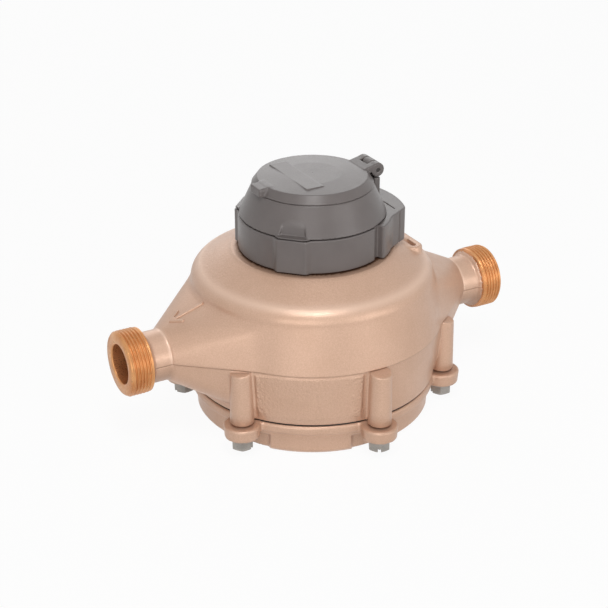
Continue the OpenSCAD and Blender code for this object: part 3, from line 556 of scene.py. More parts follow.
def conePlanes(form):
    planes = []
    for n in range(form["coneCount"]):
        c = math.cos(2 * math.pi * n / form["coneCount"])
        s = math.sin(2 * math.pi * n / form["coneCount"])

        def lead(tilt):
            normal = (math.sin(tilt), math.cos(tilt) * c, math.cos(tilt) * s)
            flat = math.hypot(normal[0], normal[1])
            body = max(normal[2] * (z - form["axis"]) + flat * r for z, r in form["coneRings"])
            return normal[0] * form["coneEnd"] + math.cos(tilt) * form["coneRadius"] - body, normal, body
        low, high = -0.2, math.pi / 2
        for halving in range(40):
            middle = (low + high) / 2
            if lead(middle)[0] < 0:
                low = middle
            else:
                high = middle
        gap, normal, level = lead(high)
        planes.append((*normal, level))
    return planes


def arcAround(middle, radius, end, count):
    turns = [math.radians(a) for a in np.linspace(0, end, count)]
    return [(middle[0] + radius * math.cos(a), middle[1] + radius * math.sin(a)) for a in turns]


def outlines(form):
    middle, bend = form["shoulder"][:2], form["shoulder"][2]
    axis, radius, top, inner = form["axis"], form["radius"], form["top"], form["ringInner"]
    ringLevel = top - form["ringDeep"]
    ringOuter = form["flatRadius"] + form["ringDeep"] / math.tan(math.radians(form["slope"]))
    upper = [(0, axis - 6), (radius, axis - 6), (radius, axis)]
    upper += arcAround(middle, bend, 90 - form["slope"], 9)
    upper += [(ringOuter, ringLevel), (inner, ringLevel), (inner, top), (0, top)]
    lower = [(0, form["foot"]), (form["footRadius"], form["foot"]),
             (radius - form["step"], axis + 3), (0, axis + 3)]
    cavity = list(form["cavity"]) + arcAround(middle, form["cavityRound"], 90 - form["slope"], 5)
    return upper, lower, cavity + list(form["cavityTop"])


casePlanes = conePlanes(caseForm)
upperOutline, lowerOutline, cavityOutline = outlines(caseForm)


skirtForm = {"from": 216.0, "to": 263.1, "low": 25, "high": 57.5, "edge": 3.0, "side": 7.0,
             "end": 0.6, "faint": 0.4, "proud": 0.4, "inner": 70}


def roughStretch(x, y, z):
    # 1 on the coarse stretch of the skirt between the two front bosses, and how far inside it, in degrees
    f = skirtForm
    turn = np.degrees(np.arctan2(y, x)) % 360
    within = np.minimum(turn - f["from"], f["to"] - turn)
    share = np.clip(0.5 + within / f["end"], 0, 1) * np.clip((z - f["low"]) / f["edge"], 0, 1)
    return share * np.clip(f["high"] - z, 0, 1), within


def slotShape(x, y, atX, atY, half, width):
    # round-ended bar along y
    return np.sqrt((x - atX) ** 2 + np.maximum(np.abs(y - atY) - half, 0) ** 2) - width / 2


def caseSolid(x, y, z):
    f = caseForm
    r = np.sqrt(x * x + y * y)
    up = z - f["axis"]
    side = np.abs(x)
    upper = np.maximum(profileDistance(r, z, upperOutline), -up)
    lower = np.maximum(roundedProfile(r, z, lowerOutline, f["footRound"]), up)
    cone = np.maximum(np.maximum(side - f["coneEnd"], f["coneStart"] - side),
                      np.maximum(f["coneRings"][0][0] - z, z - f["coneRings"][2][0]))
    for nx, ny, nz, level in casePlanes:
        cone = np.maximum(cone, nx * side + ny * y + nz * up - level)
    rise = np.clip((up - f["blendFrom"]) / f["blendOver"], 0, 1)
    blend = f["blendLow"] + (f["blendHigh"] - f["blendLow"]) * rise
    above = softUnion(upper, np.maximum(cone, -up), blend)
    below = softUnion(lower, np.maximum(cone + f["step"] * f["coneStep"], up), f["blendLow"])
    solid = np.minimum(np.maximum(above, -up), np.maximum(below, up))
    solid = solid - skirtForm["proud"] * roughStretch(x, y, z)[0] * (r > skirtForm["inner"])
    around = np.sqrt(y * y + up * up)
    core = -9       # below zero, so that the neck is solid to its middle
    neck = profileDistance(side, around, [(f["neckStart"], core), (f["collarEnd"], core),
                                          (f["collarEnd"], f["collar"]), (f["neckEnd"], f["neck"]),
                                          (f["neckStart"], f["neck"])])
    solid = softUnion(solid, neck, f["neckBlend"])
    for turn in boltTurns:
        bx, by = turnedBy(x, y, turn)
        bx = bx - f["bossCircle"]
        across = np.sqrt(bx * bx + by * by)
        lean = f["bossDraft"] * np.clip((z - f["foot"]) / (f["bossTop"] - f["foot"]), 0, 1)
        post = across - f["boss"] + lean + f["bossRoot"]
        post = softMeet(post, z - f["bossTop"] + f["postDrop"], f["postEdge"])
        post = softMeet(post, f["foot"] + f["postFoot"] - z, f["postFootEdge"])
        solid = softUnion(solid, post, f["bossBlend"])
    lug = slotShape(x, y, f["lugAt"], 0, f["lugHalf"], f["lugWidth"])
    lug = softMeet(softMeet(lug, z - f["lugTop"], f["lugEdge"]), f["lugFoot"] - z, 1)
    slot = slotShape(x, y, f["lugAt"], f["slotAt"], f["slotHalf"], f["slotWidth"])
    slot = np.maximum(slot, f["lugTop"] - f["slotDeep"] - z)
    solid = softUnion(solid, lug, f["lugBlend"])
    solid = softMeet(solid, -slot, f["slotEdge"])
    seat = np.maximum(r - f["seat"], np.maximum(z - f["seatTop"], f["seatLow"] - z))
    return np.minimum(solid, seat)


def caseField(x, y, z):
    f = caseForm
    r = np.sqrt(x * x + y * y)
    up = z - f["axis"]
    side = np.abs(x)
    around = np.sqrt(y * y + up * up)
    cavity = profileDistance(r, z, cavityOutline)
    widen = (f["flare"] - f["bore"]) * (1 - x / f["flareEnd"])
    flare = np.maximum((around - f["bore"]) - widen, np.maximum(-x, x - f["flareEnd"]))
    spout = np.maximum(np.maximum(around - f["outletBoss"], -x - f["radius"]), x + f["outletFace"])
    hollow = np.maximum(np.minimum(cavity, flare), -spout)
    inner = np.maximum(f["outletFace"] - 1 - side, np.where(x > 0, f["inletBore"] - side, -99))
    bore = np.maximum(around - f["bore"], inner)
    hollow = np.minimum(hollow, bore)
    for turn in boltTurns:
        bx, by = turnedBy(x, y, turn)
        hole = np.sqrt((bx - f["bossCircle"]) ** 2 + by * by) - f["hole"]
        hollow = np.minimum(hollow, np.maximum(hole, z - f["holeTop"]))
    return np.maximum(caseSolid(x, y, z), -hollow)


def upperField(x, y, z):
    return softMeet(caseField(x, y, z), caseForm["axis"] - z, caseForm["seam"])


def lowerField(x, y, z):
    return softMeet(caseField(x, y, z), z - caseForm["axis"], caseForm["seam"])


# coarser sand on the top, and painted light on the case: painted shade and painted highlights
sandAndPaintedLightForm = {
    "sand": 0.13, "sandFrom": 45, "sandOver": 15, "sandInner": 44,       # coarser sand on the top
    "gap": 0.95, "gapEdge": 47.9, "near": 0.4, "nearWide": 7.0, "gapLow": 106,       # painted shadow under the register's foot
    "paintedHighlight": 0.6, "highlightAt": 58, "highlightWide": 17, "highlightInner": 66,       # painted highlight along the shoulder
    # painted highlight where the neck meets the cone, and a paler painted top on the neck
    "lip": 0.75, "lipAt": 108.4, "lipWide": 1.1,
    "neck": 0.12, "neckFrom": 104, "neckBare": 108, "neckRadius": 21, "neckLow": 3, "neckFade": 8,
    # painted shade along the parting line's groove, and on the underside of each neck
    "seam": 0.3, "seamWide": 0.5, "seamEnd": 121,
    "under": 0.3, "underOver": 8, "underFrom": 106, "underWide": 3, "skirtInner": 76,
}


# marks at the case's points: coarse sand, painted shade and painted highlights
def caseMarks(points):
    w, shoulder = sandAndPaintedLightForm, caseForm["shoulder"]
    x, y, z = points.T
    r, side, up = np.hypot(x, y), np.abs(x), z - caseForm["axis"]
    lean = np.degrees(np.arctan2(z - shoulder[1], r - shoulder[0]))
    share, within = roughStretch(x, y, z)
    near = np.clip(1 - within / skirtForm["side"], 0, 1)
    rough = share * (r > w["skirtInner"]) * (skirtForm["faint"] + (1 - skirtForm["faint"]) * near)
    onTop = (z > shoulder[1]) * (r > w["sandInner"])
    rough = np.maximum(rough, w["sand"] * np.clip((lean - w["sandFrom"]) / w["sandOver"], 0, 1) * onTop)
    # painted shadow under the register's foot, fading outwards over the bronze
    beside = w["near"] * np.clip(1 - (r - w["gapEdge"]) / w["nearWide"], 0, 1)
    foot = np.where(r < w["gapEdge"], w["gap"], beside) * (z > w["gapLow"])
    # painted highlight: a pale band along the shoulder's round
    paintedHighlight = w["paintedHighlight"] * np.exp(-((lean - w["highlightAt"]) / w["highlightWide"]) ** 2)
    paintedHighlight = paintedHighlight * (r > w["highlightInner"]) * (z > shoulder[1])
    neckTop = np.clip((up + w["neckLow"]) / w["neckFade"], 0, 1)
    neckTop = neckTop * (side > w["neckFrom"]) * (np.hypot(y, up) < w["neckRadius"])
    # painted highlight: a pale line where the neck meets the cone, and a paler top of the neck
    lip = w["lip"] * np.exp(-((side - w["lipAt"]) / w["lipWide"]) ** 2)
    paintedHighlight = np.maximum(paintedHighlight, neckTop * np.maximum(lip, w["neck"] * (side > w["neckBare"])))
    # painted shade along the parting line's groove
    seam = w["seam"] * np.exp(-(up / w["seamWide"]) ** 2) * (side < w["seamEnd"])
    # painted shade on the underside of each neck
    under = w["under"] * np.clip(-up / w["underOver"], 0, 1)
    under = under * np.clip((side - w["underFrom"]) / w["underWide"], 0, 1)
    return {"rough": rough, "paintedShade": np.maximum(np.maximum(foot, seam), under), "paintedHighlight": paintedHighlight}


def caseGrids(form, half, fineLong):
    cell, tall, fineTall = form[half + "Cell"], form[half + "Tall"], form[half + "Fine"]
    return steps(*form["long"], cell, fineLong), steps(*form["wide"], cell), steps(*tall, cell, fineTall)


points, faces = skin(upperField, *caseGrids(caseForm, "upper", caseForm["coneFine"] + caseForm["lugFine"]))
makePiece("caseUpper", points, faces, "caseBronze", "case", ["main_case"],
          marks=caseMarks(points))
points, faces = skin(lowerField, *caseGrids(caseForm, "lower", caseForm["coneFine"]))
makePiece("caseLower", points, faces, "caseBronze", "case", marks=caseMarks(points))


# flow arrow cast on the outlet cone
arrowForm = {"tail": (-80.5, -1.5), "tip": (-100.5, 1.5), "barbs": (8.5, 8.5), "spread": 44, "half": 1.1,
             "proud": 0.8, "sink": 0.8, "edge": 0.6, "cell": 0.5, "grid": ((-104, -77), (-12, 14), (70, 93))}


def segment(x, y, start, end):
    ex, ey = end[0] - start[0], end[1] - start[1]
    t = np.clip(((x - start[0]) * ex + (y - start[1]) * ey) / (ex * ex + ey * ey), 0, 1)
    return np.sqrt((x - start[0] - ex * t) ** 2 + (y - start[1] - ey * t) ** 2)


def arrowField(x, y, z):
    f = arrowForm
    stroke = segment(x, y, f["tail"], f["tip"])
    back = math.atan2(f["tail"][1] - f["tip"][1], f["tail"][0] - f["tip"][0])
    for length, turn in zip(f["barbs"], (1, -1)):
        angle = back + turn * math.radians(f["spread"])
        end = (f["tip"][0] + length * math.cos(angle), f["tip"][1] + length * math.sin(angle))
        stroke = np.minimum(stroke, segment(x, y, f["tip"], end))
    base = caseSolid(x, y, z)
    return np.maximum(softMeet(stroke - f["half"], base - f["proud"], f["edge"]), -base - f["sink"])


points, faces = skin(arrowField, *grids(arrowForm))
makePiece("flowArrow", points, faces, "caseBronze", "case")


# bolt bosses, each with a flat top that leans outwards
bossForm = {"lean": 0.2, "around": 64, "edge": 0.7, "foot": 0.5, "rows": (0.3, 0.6, 0.85), "bend": 4}


def turnedRows(rows, around, place):
    # closed body from rows of (radius, level, lean share); a row of radius 0 is one point
    points, faces, starts = [], [], []
    turns = 2 * math.pi * np.arange(around) / around
    for radius, level, share in rows:
        starts.append(len(points))
        count = around if radius else 1
        for m in range(count):
            points.append(place(radius * math.cos(turns[m]), radius * math.sin(turns[m]), level, share))
    for row in range(len(rows) - 1):
        low, high = starts[row], starts[row + 1]
        for m in range(around):
            after = (m + 1) % around
            first = [low + m, low + after] if rows[row][0] else [low]
            second = [high + after, high + m] if rows[row + 1][0] else [high]
            faces.append(first + second)
    return points, faces


def bossPosts(form):
    f = caseForm
    top = f["boss"] - f["bossDraft"]
    tall = f["bossTop"] - f["foot"]
    rows = [(0, f["holeTop"], 0), (f["hole"], f["holeTop"], 0), (f["hole"], f["foot"], 0),
            (f["boss"] - form["foot"], f["foot"], 0), (f["boss"], f["foot"] + form["foot"], 0)]
    rows += [(f["boss"] - f["bossDraft"] * part, f["foot"] + tall * part, 0) for part in form["rows"]]
    for n in range(form["bend"] + 1):
        angle = math.pi / 2 * n / form["bend"]
        rows.append((top - form["edge"] * (1 - math.cos(angle)),
                     f["bossTop"] - form["edge"] * (1 - math.sin(angle)), 1))
    rows += [(top * 0.5, f["bossTop"], 1), (0, f["bossTop"], 1)]
    parts = []
    for turn in boltTurns:
        c, s = math.cos(math.radians(turn)), math.sin(math.radians(turn))

        def place(bx, by, level, share):
            out = bx + f["bossCircle"]
            return out * c - by * s, out * s + by * c, level - share * form["lean"] * (bx + top)
        parts.append(turnedRows(rows, form["around"], place))
    return gather(parts)


points, faces = bossPosts(bossForm)
makePiece("bossPosts", points, faces, "caseBronze", "case")


# threaded spuds
spudForm = {
    "start": 121.9, "end": 136.5, "crest": 20.9, "depth": 1.15, "pitch": 2.21, "chamfer": 1.4,
    "flat": 1.25, "flank": 3.1, "runInAt": 0.6, "runIn": 1.6, "firstRoot": 0.3,       # shape of the thread
    "bore": 12.7, "rim": 0.8, "bend": 4, "rimDeep": 3, "boreRings": 6, "around": 160, "along": 76,
}


def threadRadius(along, turn, form):
    phase = (along / form["pitch"] - turn) % 1
    ridge = np.clip(form["flat"] - np.abs(phase - 0.5) * form["flank"], 0, 1)
    runIn = np.clip((along - form["start"] - form["runInAt"]) / form["runIn"], 0, 1)
    radius = form["crest"] - form["depth"] * (1 - ridge) * runIn
    radius = radius - form["depth"] * form["firstRoot"] * (1 - runIn)
    return np.minimum(radius, form["crest"] - form["chamfer"] + np.maximum(form["end"] - along, 0))


def threadedSpud(name, side, form):
    count, start, end, bore, rim = (form[key] for key in ("around", "start", "end", "bore", "rim"))
    turns = np.arange(count) / count
    rings = [(a, threadRadius(a, side * turns, form)) for a in np.linspace(start, end, form["along"])]
    rings.append((end, bore + rim))
    for n in range(1, form["bend"] + 1):
        angle = math.pi / 2 * n / form["bend"]
        rings.append((end - rim * (1 - math.cos(angle)), bore + rim * (1 - math.sin(angle))))
    rings += [(a, bore) for a in np.linspace(end - form["rimDeep"], start, form["boreRings"])]
    points = []
    for along, radius in rings:
        points.append(np.stack([np.full(count, side * along), radius * np.cos(2 * math.pi * turns),
                                caseForm["axis"] + radius * np.sin(2 * math.pi * turns)], 1))
    faces = []
    for ring in range(len(rings)):
        here, there = ring * count, (ring + 1) % len(rings) * count
        for m in range(count):
            after = (m + 1) % count
            quad = (here + m, here + after, there + after, there + m)
            faces.append(quad if side < 0 else quad[::-1])
    piece = makePiece(name, np.concatenate(points), faces, ["threadBronze", "boreBronze"],
                      "case")
    dark = form["along"] + form["bend"]
    for face in piece.data.polygons:
        if face.index // count >= dark:
            face.material_index = 1




threadedSpud("inletThread", 1, spudForm)
threadedSpud("outletThread", -1, spudForm)


# bottom plate
plateForm = {
    "rim": 80, "rimLow": 15.1, "rimTop": 21.6, "rimEdge": 1.8, "pan": 76.5, "chamfer": 2.6, "panEdge": 0.8,
    "panOver": 3, "panBlend": 0.9, "floor": 8, "well": 70.5, "circle": 85.6,
    "ear": 11.8, "earLow": 11.8, "earTop": 21.0, "earEdge": 1.3, "earTaper": 0.8, "earBlend": 2.0,
    "scallop": 13.5, "recess": 17.5, "recessFloor": 72.4, "recessEdge": 0.6, "hole": 4.25,
    "cell": 1.25, "wide": (-99, 99), "tallCell": 1.0, "tall": (-1.6, 23),
}


def plateField(x, y, z):
    f = plateForm
    r = np.sqrt(x * x + y * y)
    rim = column(x, y, z, f["rimLow"], f["rimTop"], f["rim"], f["rimEdge"])
    over = f["rimLow"] + f["panOver"]
    pan = roundedProfile(r, z, [(0, 0), (f["pan"] - f["chamfer"], 0), (f["pan"], f["chamfer"]),
                                (f["pan"] + 1, over), (0, over)], f["panEdge"])
    ears, holes = None, None
    for turn in boltTurns:
        bx, by = turnedBy(x, y, turn)
        bx = bx - f["circle"]
        across = np.sqrt(bx * bx + by * by)
        scallop = np.minimum(across - f["scallop"], np.maximum(across - f["recess"], f["recessFloor"] - r))
        scallop = np.maximum(scallop, z - f["earLow"])
        pan = softMeet(pan, -scallop, f["recessEdge"])
        taper = f["earTaper"] * (1 - np.clip((z - f["earLow"]) / (f["earTop"] - f["earLow"]), 0, 1))
        ear = column(bx, by, z, f["earLow"], f["earTop"], f["ear"], f["earEdge"]) + taper
        hole = across - f["hole"]
        ears = ear if ears is None else np.minimum(ears, ear)
        holes = hole if holes is None else np.minimum(holes, hole)
    solid = softUnion(softUnion(rim, pan, f["panBlend"]), ears, f["earBlend"])
    well = np.maximum(r - f["well"], f["floor"] - z)
    return np.maximum(np.maximum(solid, -well), -holes)


across = steps(*plateForm["wide"], plateForm["cell"])
points, faces = skin(plateField, across, across, steps(*plateForm["tall"], plateForm["tallCell"]))
makePiece("plateCasting", points, faces, "plateBronze", "case", ["bottom_plate"])


# bolts
boltForm = {
    "circle": 85.6, "seat": 11.8, "washer": 1.4, "washerRadius": 6.85, "washerEdge": 0.35, "washerBlend": 0.4,
    "hex": 12.7, "head": 6.2, "edge": 0.5, "crown": 6.5, "crownLean": (0.5, 0.87), "crownEdge": 0.4,
    "slot": 2.0, "slotDepth": 2.4, "slotEdge": 0.35,
    "shank": 3.95, "sink": 0.6, "rows": (22.0, 40.0), "tip": 48.4, "bevel": 0.8, "around": 24,
    "turn": 107, "turnStep": 56, "crisp": 32,       # degrees
    "cell": 0.42, "grid": ((-8.4, 8.4), (-8.4, 8.4), (3.2, 12.6)),
}


def boltField(x, y, z):
    f = boltForm
    low = f["seat"] - f["washer"] - f["head"]
    hexagon = None
    for n in range(3):
        a = math.radians(60 * n + 30)
        face = np.abs(x * math.cos(a) + y * math.sin(a)) - f["hex"] / 2
        hexagon = face if hexagon is None else np.maximum(hexagon, face)
    r = np.sqrt(x * x + y * y)
    head = softMeet(hexagon, np.maximum(low - z, z - f["seat"] + f["washer"] * 0.5), f["edge"])
    crown = (r - f["crown"]) * f["crownLean"][0] + (low - z) * f["crownLean"][1]
    head = softMeet(head, crown, f["crownEdge"])
    slot = np.maximum(np.abs(y) - f["slot"] / 2, z - low - f["slotDepth"])
    head = softMeet(head, -slot, f["slotEdge"])
    washer = column(x, y, z, f["seat"] - f["washer"], f["seat"], f["washerRadius"], f["washerEdge"])
    return softUnion(head, washer, f["washerBlend"])


def boltSet(form):
    head, headFaces = skin(boltField, *grids(form))
    px, py, pz = head.T
    count, shank, tip, bevel = form["around"], form["shank"], form["tip"], form["bevel"]
    rows = [(shank, level) for level in (form["seat"] - form["sink"], *form["rows"], tip - bevel)]
    rows.append((shank - bevel, tip))
    angles = 2 * math.pi * np.arange(count) / count
    shankFaces = []
    for row in range(len(rows) - 1):
        for m in range(count):
            here, after = row * count + m, row * count + (m + 1) % count
            shankFaces.append([here, after, after + count, here + count])
    shankFaces.append(list(reversed(range(count))))
    shankFaces.append([(len(rows) - 1) * count + m for m in range(count)])
    parts = []
    for n, turn in enumerate(boltTurns):
        place = math.radians(turn)
        spin = place + math.radians(form["turn"] + form["turnStep"] * n)
        x, y = form["circle"] * math.cos(place), form["circle"] * math.sin(place)
        parts.append((np.stack([x + px * math.cos(spin) - py * math.sin(spin),
                                y + px * math.sin(spin) + py * math.cos(spin), pz], 1), headFaces))
        rings = [np.stack([x + r * np.cos(angles), y + r * np.sin(angles), np.full(count, z)], 1)
                 for r, z in rows]
        parts.append((np.concatenate(rings), shankFaces))
    return gather(parts)


points, faces = boltSet(boltForm)
makePiece("boltSet", points, faces, "boltSteel", "case", ["case_bolts"], crisp=boltForm["crisp"])


# register housing
padTurns = (135, 225)       # two pads, with the lid's notches over them
housingForm = {
    "base": 112, "floor": 114, "rim": 133.2, "radius": 47.5, "well": 42.9, "edge": 0.5, "seat": 27.4,
    "lift": 0.6, "liftTall": 0.5, "skirt": 0.8, "skirtInner": 45.8,      # foot of the wall
    "blockRadius": 59.7, "half": 21, "flare": 28, "root": 28.5, "corner": 1.4,      # hinge block
    "blockBlend": 1.2,
    "band": 50.8, "bandAt": (27.0, 43.3), "bandLean": 8.7, "bandEdge": 0.4,      # thick wall beside the block
    "channelAt": 61.3, "channelHalf": 2.3, "channelFloor": 46.2, "channelEdge": 0.5, "channelLip": 0.3,
    "padHalf": 9.5, "padOut": 49.1, "padFlank": (0.77, 0.64), "padEdge": 0.8,
    "slitAt": 47.9, "slitFrom": 8, "slitTo": 21.6, "slitHalf": 0.35, "slitDeep": 0.5,
    "grooveAt": (48.4, 27.05), "grooveHalf": 0.8,
    "postFrom": 39.9, "postTo": 44.5, "postHalf": 9.0, "postTop": 151.1, "postEdge": 0.5,
    "middle": 4.0, "armLap": 2, "armEdge": 0.4, "stemBlend": 0.6,
    "hinge": (42.2, 156.5), "knuckle": 4.6, "knuckleEdge": 0.5, "pin": 1.36,
    "cell": 0.8, "grid": ((-50.5, 61.5), (-52, 52), (110.1, 162.5)),
    "fine": (((47.0, 48.8, 0.3),), (), ((110.8, 112.4, 0.4), (132.4, 133.6, 0.4))),
}


def housingField(x, y, z):
    f = housingForm
    r = np.sqrt(x * x + y * y)
    base = f["base"] - f["skirt"] * (r > f["skirtInner"])
    level = np.maximum(base - z, z - f["rim"])
    wall = softMeet(r - f["radius"], level, f["edge"])
    flare = math.radians(f["flare"])
    sides = (np.abs(y) - f["half"]) * math.cos(flare) - (f["blockRadius"] - x) * math.sin(flare)
    block = softMeet(softMeet(r - f["blockRadius"], sides, f["corner"]), level, f["edge"])
    block = np.maximum(block, f["root"] - x)
    lean = math.radians(f["bandLean"])
    end = (np.abs(y) - f["bandAt"][1]) * math.cos(lean) - (x - f["bandAt"][0]) * math.sin(lean)
    band = softMeet(softMeet(r - f["band"], end, f["bandEdge"]), level, f["edge"])
    solid = softUnion(np.minimum(wall, np.maximum(band, -x)), block, f["blockBlend"])
    for turn in padTurns:
        px, py = turnedBy(x, y, turn)
        flank = (np.abs(py) - f["padHalf"]) * f["padFlank"][0] - (f["padOut"] - px) * f["padFlank"][1]
        pad = softMeet(softMeet(px - f["padOut"], flank, f["padEdge"]), level, f["edge"])
        solid = softUnion(solid, np.maximum(pad, f["well"] - px), f["padEdge"])
    for turn in (-f["channelAt"], f["channelAt"]):
        px, py = turnedBy(x, y, turn)
        channel = softMeet(np.abs(py) - f["channelHalf"], f["channelFloor"] - px, f["channelEdge"])
        solid = softMeet(solid, -channel, f["channelLip"])
    slitMiddle, slitReach = (f["slitFrom"] + f["slitTo"]) / 2, (f["slitTo"] - f["slitFrom"]) / 2
    slit = np.maximum(np.abs(x - f["slitAt"]) - f["slitHalf"], np.abs(np.abs(y) - slitMiddle) - slitReach)
    solid = np.maximum(solid, -np.maximum(slit, f["rim"] - f["slitDeep"] - z))
    groove = np.sqrt((x - f["grooveAt"][0]) ** 2 + (np.abs(y) - f["grooveAt"][1]) ** 2) - f["grooveHalf"]
    solid = np.maximum(solid, -groove)
    drawn = np.clip((base + f["liftTall"] - z) / f["liftTall"], 0, 1)
    solid = solid + f["lift"] * drawn       # foot drawn in under the wall
    post = roundedBox(x, y, z, (f["postFrom"], -f["postHalf"], f["floor"] + 1),
                      (f["postTo"], f["postHalf"], f["postTop"]), f["postEdge"])
    arm = roundedBox(x, y, z, (f["postFrom"], -f["middle"], f["postTop"] - f["armLap"]),
                     (f["postTo"], f["middle"], f["hinge"][1]), f["armEdge"])
    eye = np.sqrt((x - f["hinge"][0]) ** 2 + (z - f["hinge"][1]) ** 2)
    knuckle = softMeet(eye - f["knuckle"], np.abs(y) - f["middle"], f["knuckleEdge"])
    stem = softUnion(np.minimum(post, arm), knuckle, f["stemBlend"])
    well = np.maximum(r - f["well"], f["floor"] - z)
    solid = np.maximum(np.maximum(solid, z - f["rim"]), -well)
    stem = np.maximum(stem, -np.maximum(well, z - f["rim"]))       # the post stands on the rim
    seat = np.maximum(r - f["seat"], z - f["floor"] - 1)
    return np.maximum(np.maximum(np.minimum(solid, stem), -seat), f["pin"] - eye)


points, faces = skin(housingField, *grids(housingForm))
makePiece("housingShell", points, faces, "registerGrey", "case", ["register_housing"])


# lid
lidForm = {
    "low": 133.7, "radius": 47, "skirtEdge": 0.3, "thick": 2.2,
    "crease": 153.1, "creaseRadius": 38.8, "creaseStep": 0.7, "creaseInner": 0.4,
    "creaseGroove": 0.5, "grooveDrop": 0.3, "grooveWide": 0.35,
    "top": 158.2, "topRadius": 35, "middle": 159.3, "middleRadius": 18, "capDrop": 0.2, "capEdge": 0.2,
    "panel": ((-17, -22.7), (-5, 26.3)), "panelTop": 159.4, "panelEdge": 0.15,
    "tabHalf": 6.6, "tabOut": 41.0, "tabDrop": 0.5, "tabRoot": 4,
    "tabEdge": 0.8, "tabSide": 1.6, "tabBlend": 0.9,
    "notchAt": 44.0, "notchLean": 0.12, "notchHalf": 8.6, "notchTop": 152.0, "flank": 0.22,
    "notchEdge": 0.6, "notchLip": 0.8,
    "ledge": 1.0, "ledgeOut": 48.8, "ledgeFlank": (0.77, 0.64), "ledgeSide": 0.5, "ledgeEdge": 0.2,
    "armFrom": 32, "armLow": 158.7, "armEdge": 0.3, "armSide": 0.6, "armBlend": 0.5,
    "hinge": (42.2, 156.5), "knuckle": 4.6, "half": 9.8, "knuckleEdge": 0.8, "hingeBlend": 0.8, "pin": 1.36,
    "gap": 4.4, "gapDeep": 5.1, "gapTall": (145, 170), "beyond": 60,
    "slotFrom": 28.4, "slotHalf": 9.6, "slotTop": 154.0, "slotEdge": 0.3,
    "cell": 0.75, "grid": ((-51, 51), (-51, 51), (132, 162)),
    "fine": ((), (), ((152.4, 153.8, 0.18), (157.4, 159.8, 0.4))),
}


def lidField(x, y, z):
    f = lidForm
    r = np.sqrt(x * x + y * y)
    low, crease, top, thick = f["low"], f["crease"], f["top"], f["thick"]
    lean = (f["radius"] - f["creaseRadius"] + f["creaseStep"]) / (crease - low)
    over = crease + 1       # the skirt runs on under the cap
    skirt = roundedProfile(r, z, [(0, low), (f["radius"], low), (f["radius"] - lean * (over - low), over),
                                  (0, over)], f["skirtEdge"])
    cap = roundedProfile(r, z, [(0, crease - f["capDrop"]), (f["creaseRadius"], crease),
                                (f["topRadius"], top), (f["middleRadius"], f["middle"]),
                                (0, f["middle"])], f["capEdge"])
    skirt = skirt + f["creaseGroove"] * np.exp(-((z - crease + f["grooveDrop"]) / f["grooveWide"]) ** 2)
    shell = np.minimum(skirt, cap)
    tabRoot, tabOut, tabLow = f["topRadius"] - f["tabRoot"], f["tabOut"], crease - f["tabDrop"]
    tab = roundedProfile(-x, z, [(tabRoot, tabLow), (tabOut, tabLow), (tabOut, top - f["tabDrop"]),
                                 (f["topRadius"], top), (tabRoot, top)], f["tabEdge"])
    shell = softUnion(shell, softMeet(tab, np.abs(y) - f["tabHalf"], f["tabSide"]), f["tabBlend"])
    hollow = profileDistance(r, z, [(0, low - 2), (f["radius"] - thick, low - 2), (f["radius"] - thick, low),
                                    (f["creaseRadius"] - thick, crease - f["creaseInner"]),
                                    (f["topRadius"] - thick, top - thick), (0, top - thick)])
    notch = np.full(x.shape, 99.0)
    for turn in padTurns:
        px, py = turnedBy(x, y, turn)
        wall = np.maximum(np.abs(py) - f["notchHalf"] - thick, f["notchAt"] - thick - px)
        hollow = np.maximum(hollow, -wall)
        flat = f["notchAt"] - f["notchLean"] * (z - low) - px
        narrow = np.abs(py) - f["notchHalf"] + f["flank"] * (z - low)
        narrow = softMeet(narrow, flat, f["notchEdge"])
        notch = np.minimum(notch, softMeet(narrow, low + f["ledge"] - z, f["ledgeEdge"]))
        side = (np.abs(py) - f["notchHalf"]) * f["ledgeFlank"][0] - (f["ledgeOut"] - px) * f["ledgeFlank"][1]
        foot = softMeet(px - f["ledgeOut"], side, f["ledgeSide"])
        foot = np.maximum(softMeet(foot, z - low - f["ledge"], f["ledgeEdge"]), low - z)
        shell = np.minimum(shell, np.maximum(foot, f["notchAt"] - px))
    solid = np.maximum(softMeet(shell, -np.maximum(notch, z - f["notchTop"]), f["notchLip"]), -hollow)
    slot = roundedBox(x, y, z, (f["slotFrom"], -f["slotHalf"], low - 3),
                      (f["beyond"], f["slotHalf"], f["slotTop"]), f["slotEdge"])
    solid = np.maximum(solid, -slot)
    panel = roundedBox(x, y, z, (*f["panel"][0], top - thick / 2), (*f["panel"][1], f["panelTop"]),
                       f["panelEdge"])
    solid = np.minimum(solid, panel)
    hinge, tall = f["hinge"], f["hinge"][1] + f["knuckle"]
    eye = np.sqrt((x - hinge[0]) ** 2 + (z - hinge[1]) ** 2)
    arm = roundedProfile(x, z, [(f["armFrom"], hinge[1] - 1), (hinge[0], hinge[1] - 1), (hinge[0], tall),
                                (f["armFrom"], f["armLow"])], f["armEdge"])
    arm = softMeet(arm, np.abs(y) - f["half"], f["armSide"])
    knuckle = softMeet(eye - f["knuckle"], np.abs(y) - f["half"], f["knuckleEdge"])
    solid = softUnion(solid, softUnion(arm, knuckle, f["armBlend"]), f["hingeBlend"])
    gap = roundedBox(x, y, z, (hinge[0] - f["gapDeep"], -f["gap"], f["gapTall"][0]),
                     (f["beyond"], f["gap"], f["gapTall"][1]), f["slotEdge"])
    return np.maximum(np.maximum(solid, -gap), f["pin"] - eye)


points, faces = skin(lidField, *grids(lidForm))
makePiece("lidShell", points, faces, "registerGrey", "lid", ["register_lid"])


# printed dial
dialForm = {
    "top": 126.8, "ink": 0.06, "sink": 0.1, "tick": (36.4, 39.2), "longTick": (35.4, 39.2),
    "tickHalf": 0.13, "longHalf": 0.24, "numeralAt": 31.6, "numeral": 4.6,
    "window": ((15.8, -15), (22.2, 15)), "border": 0.6,
}


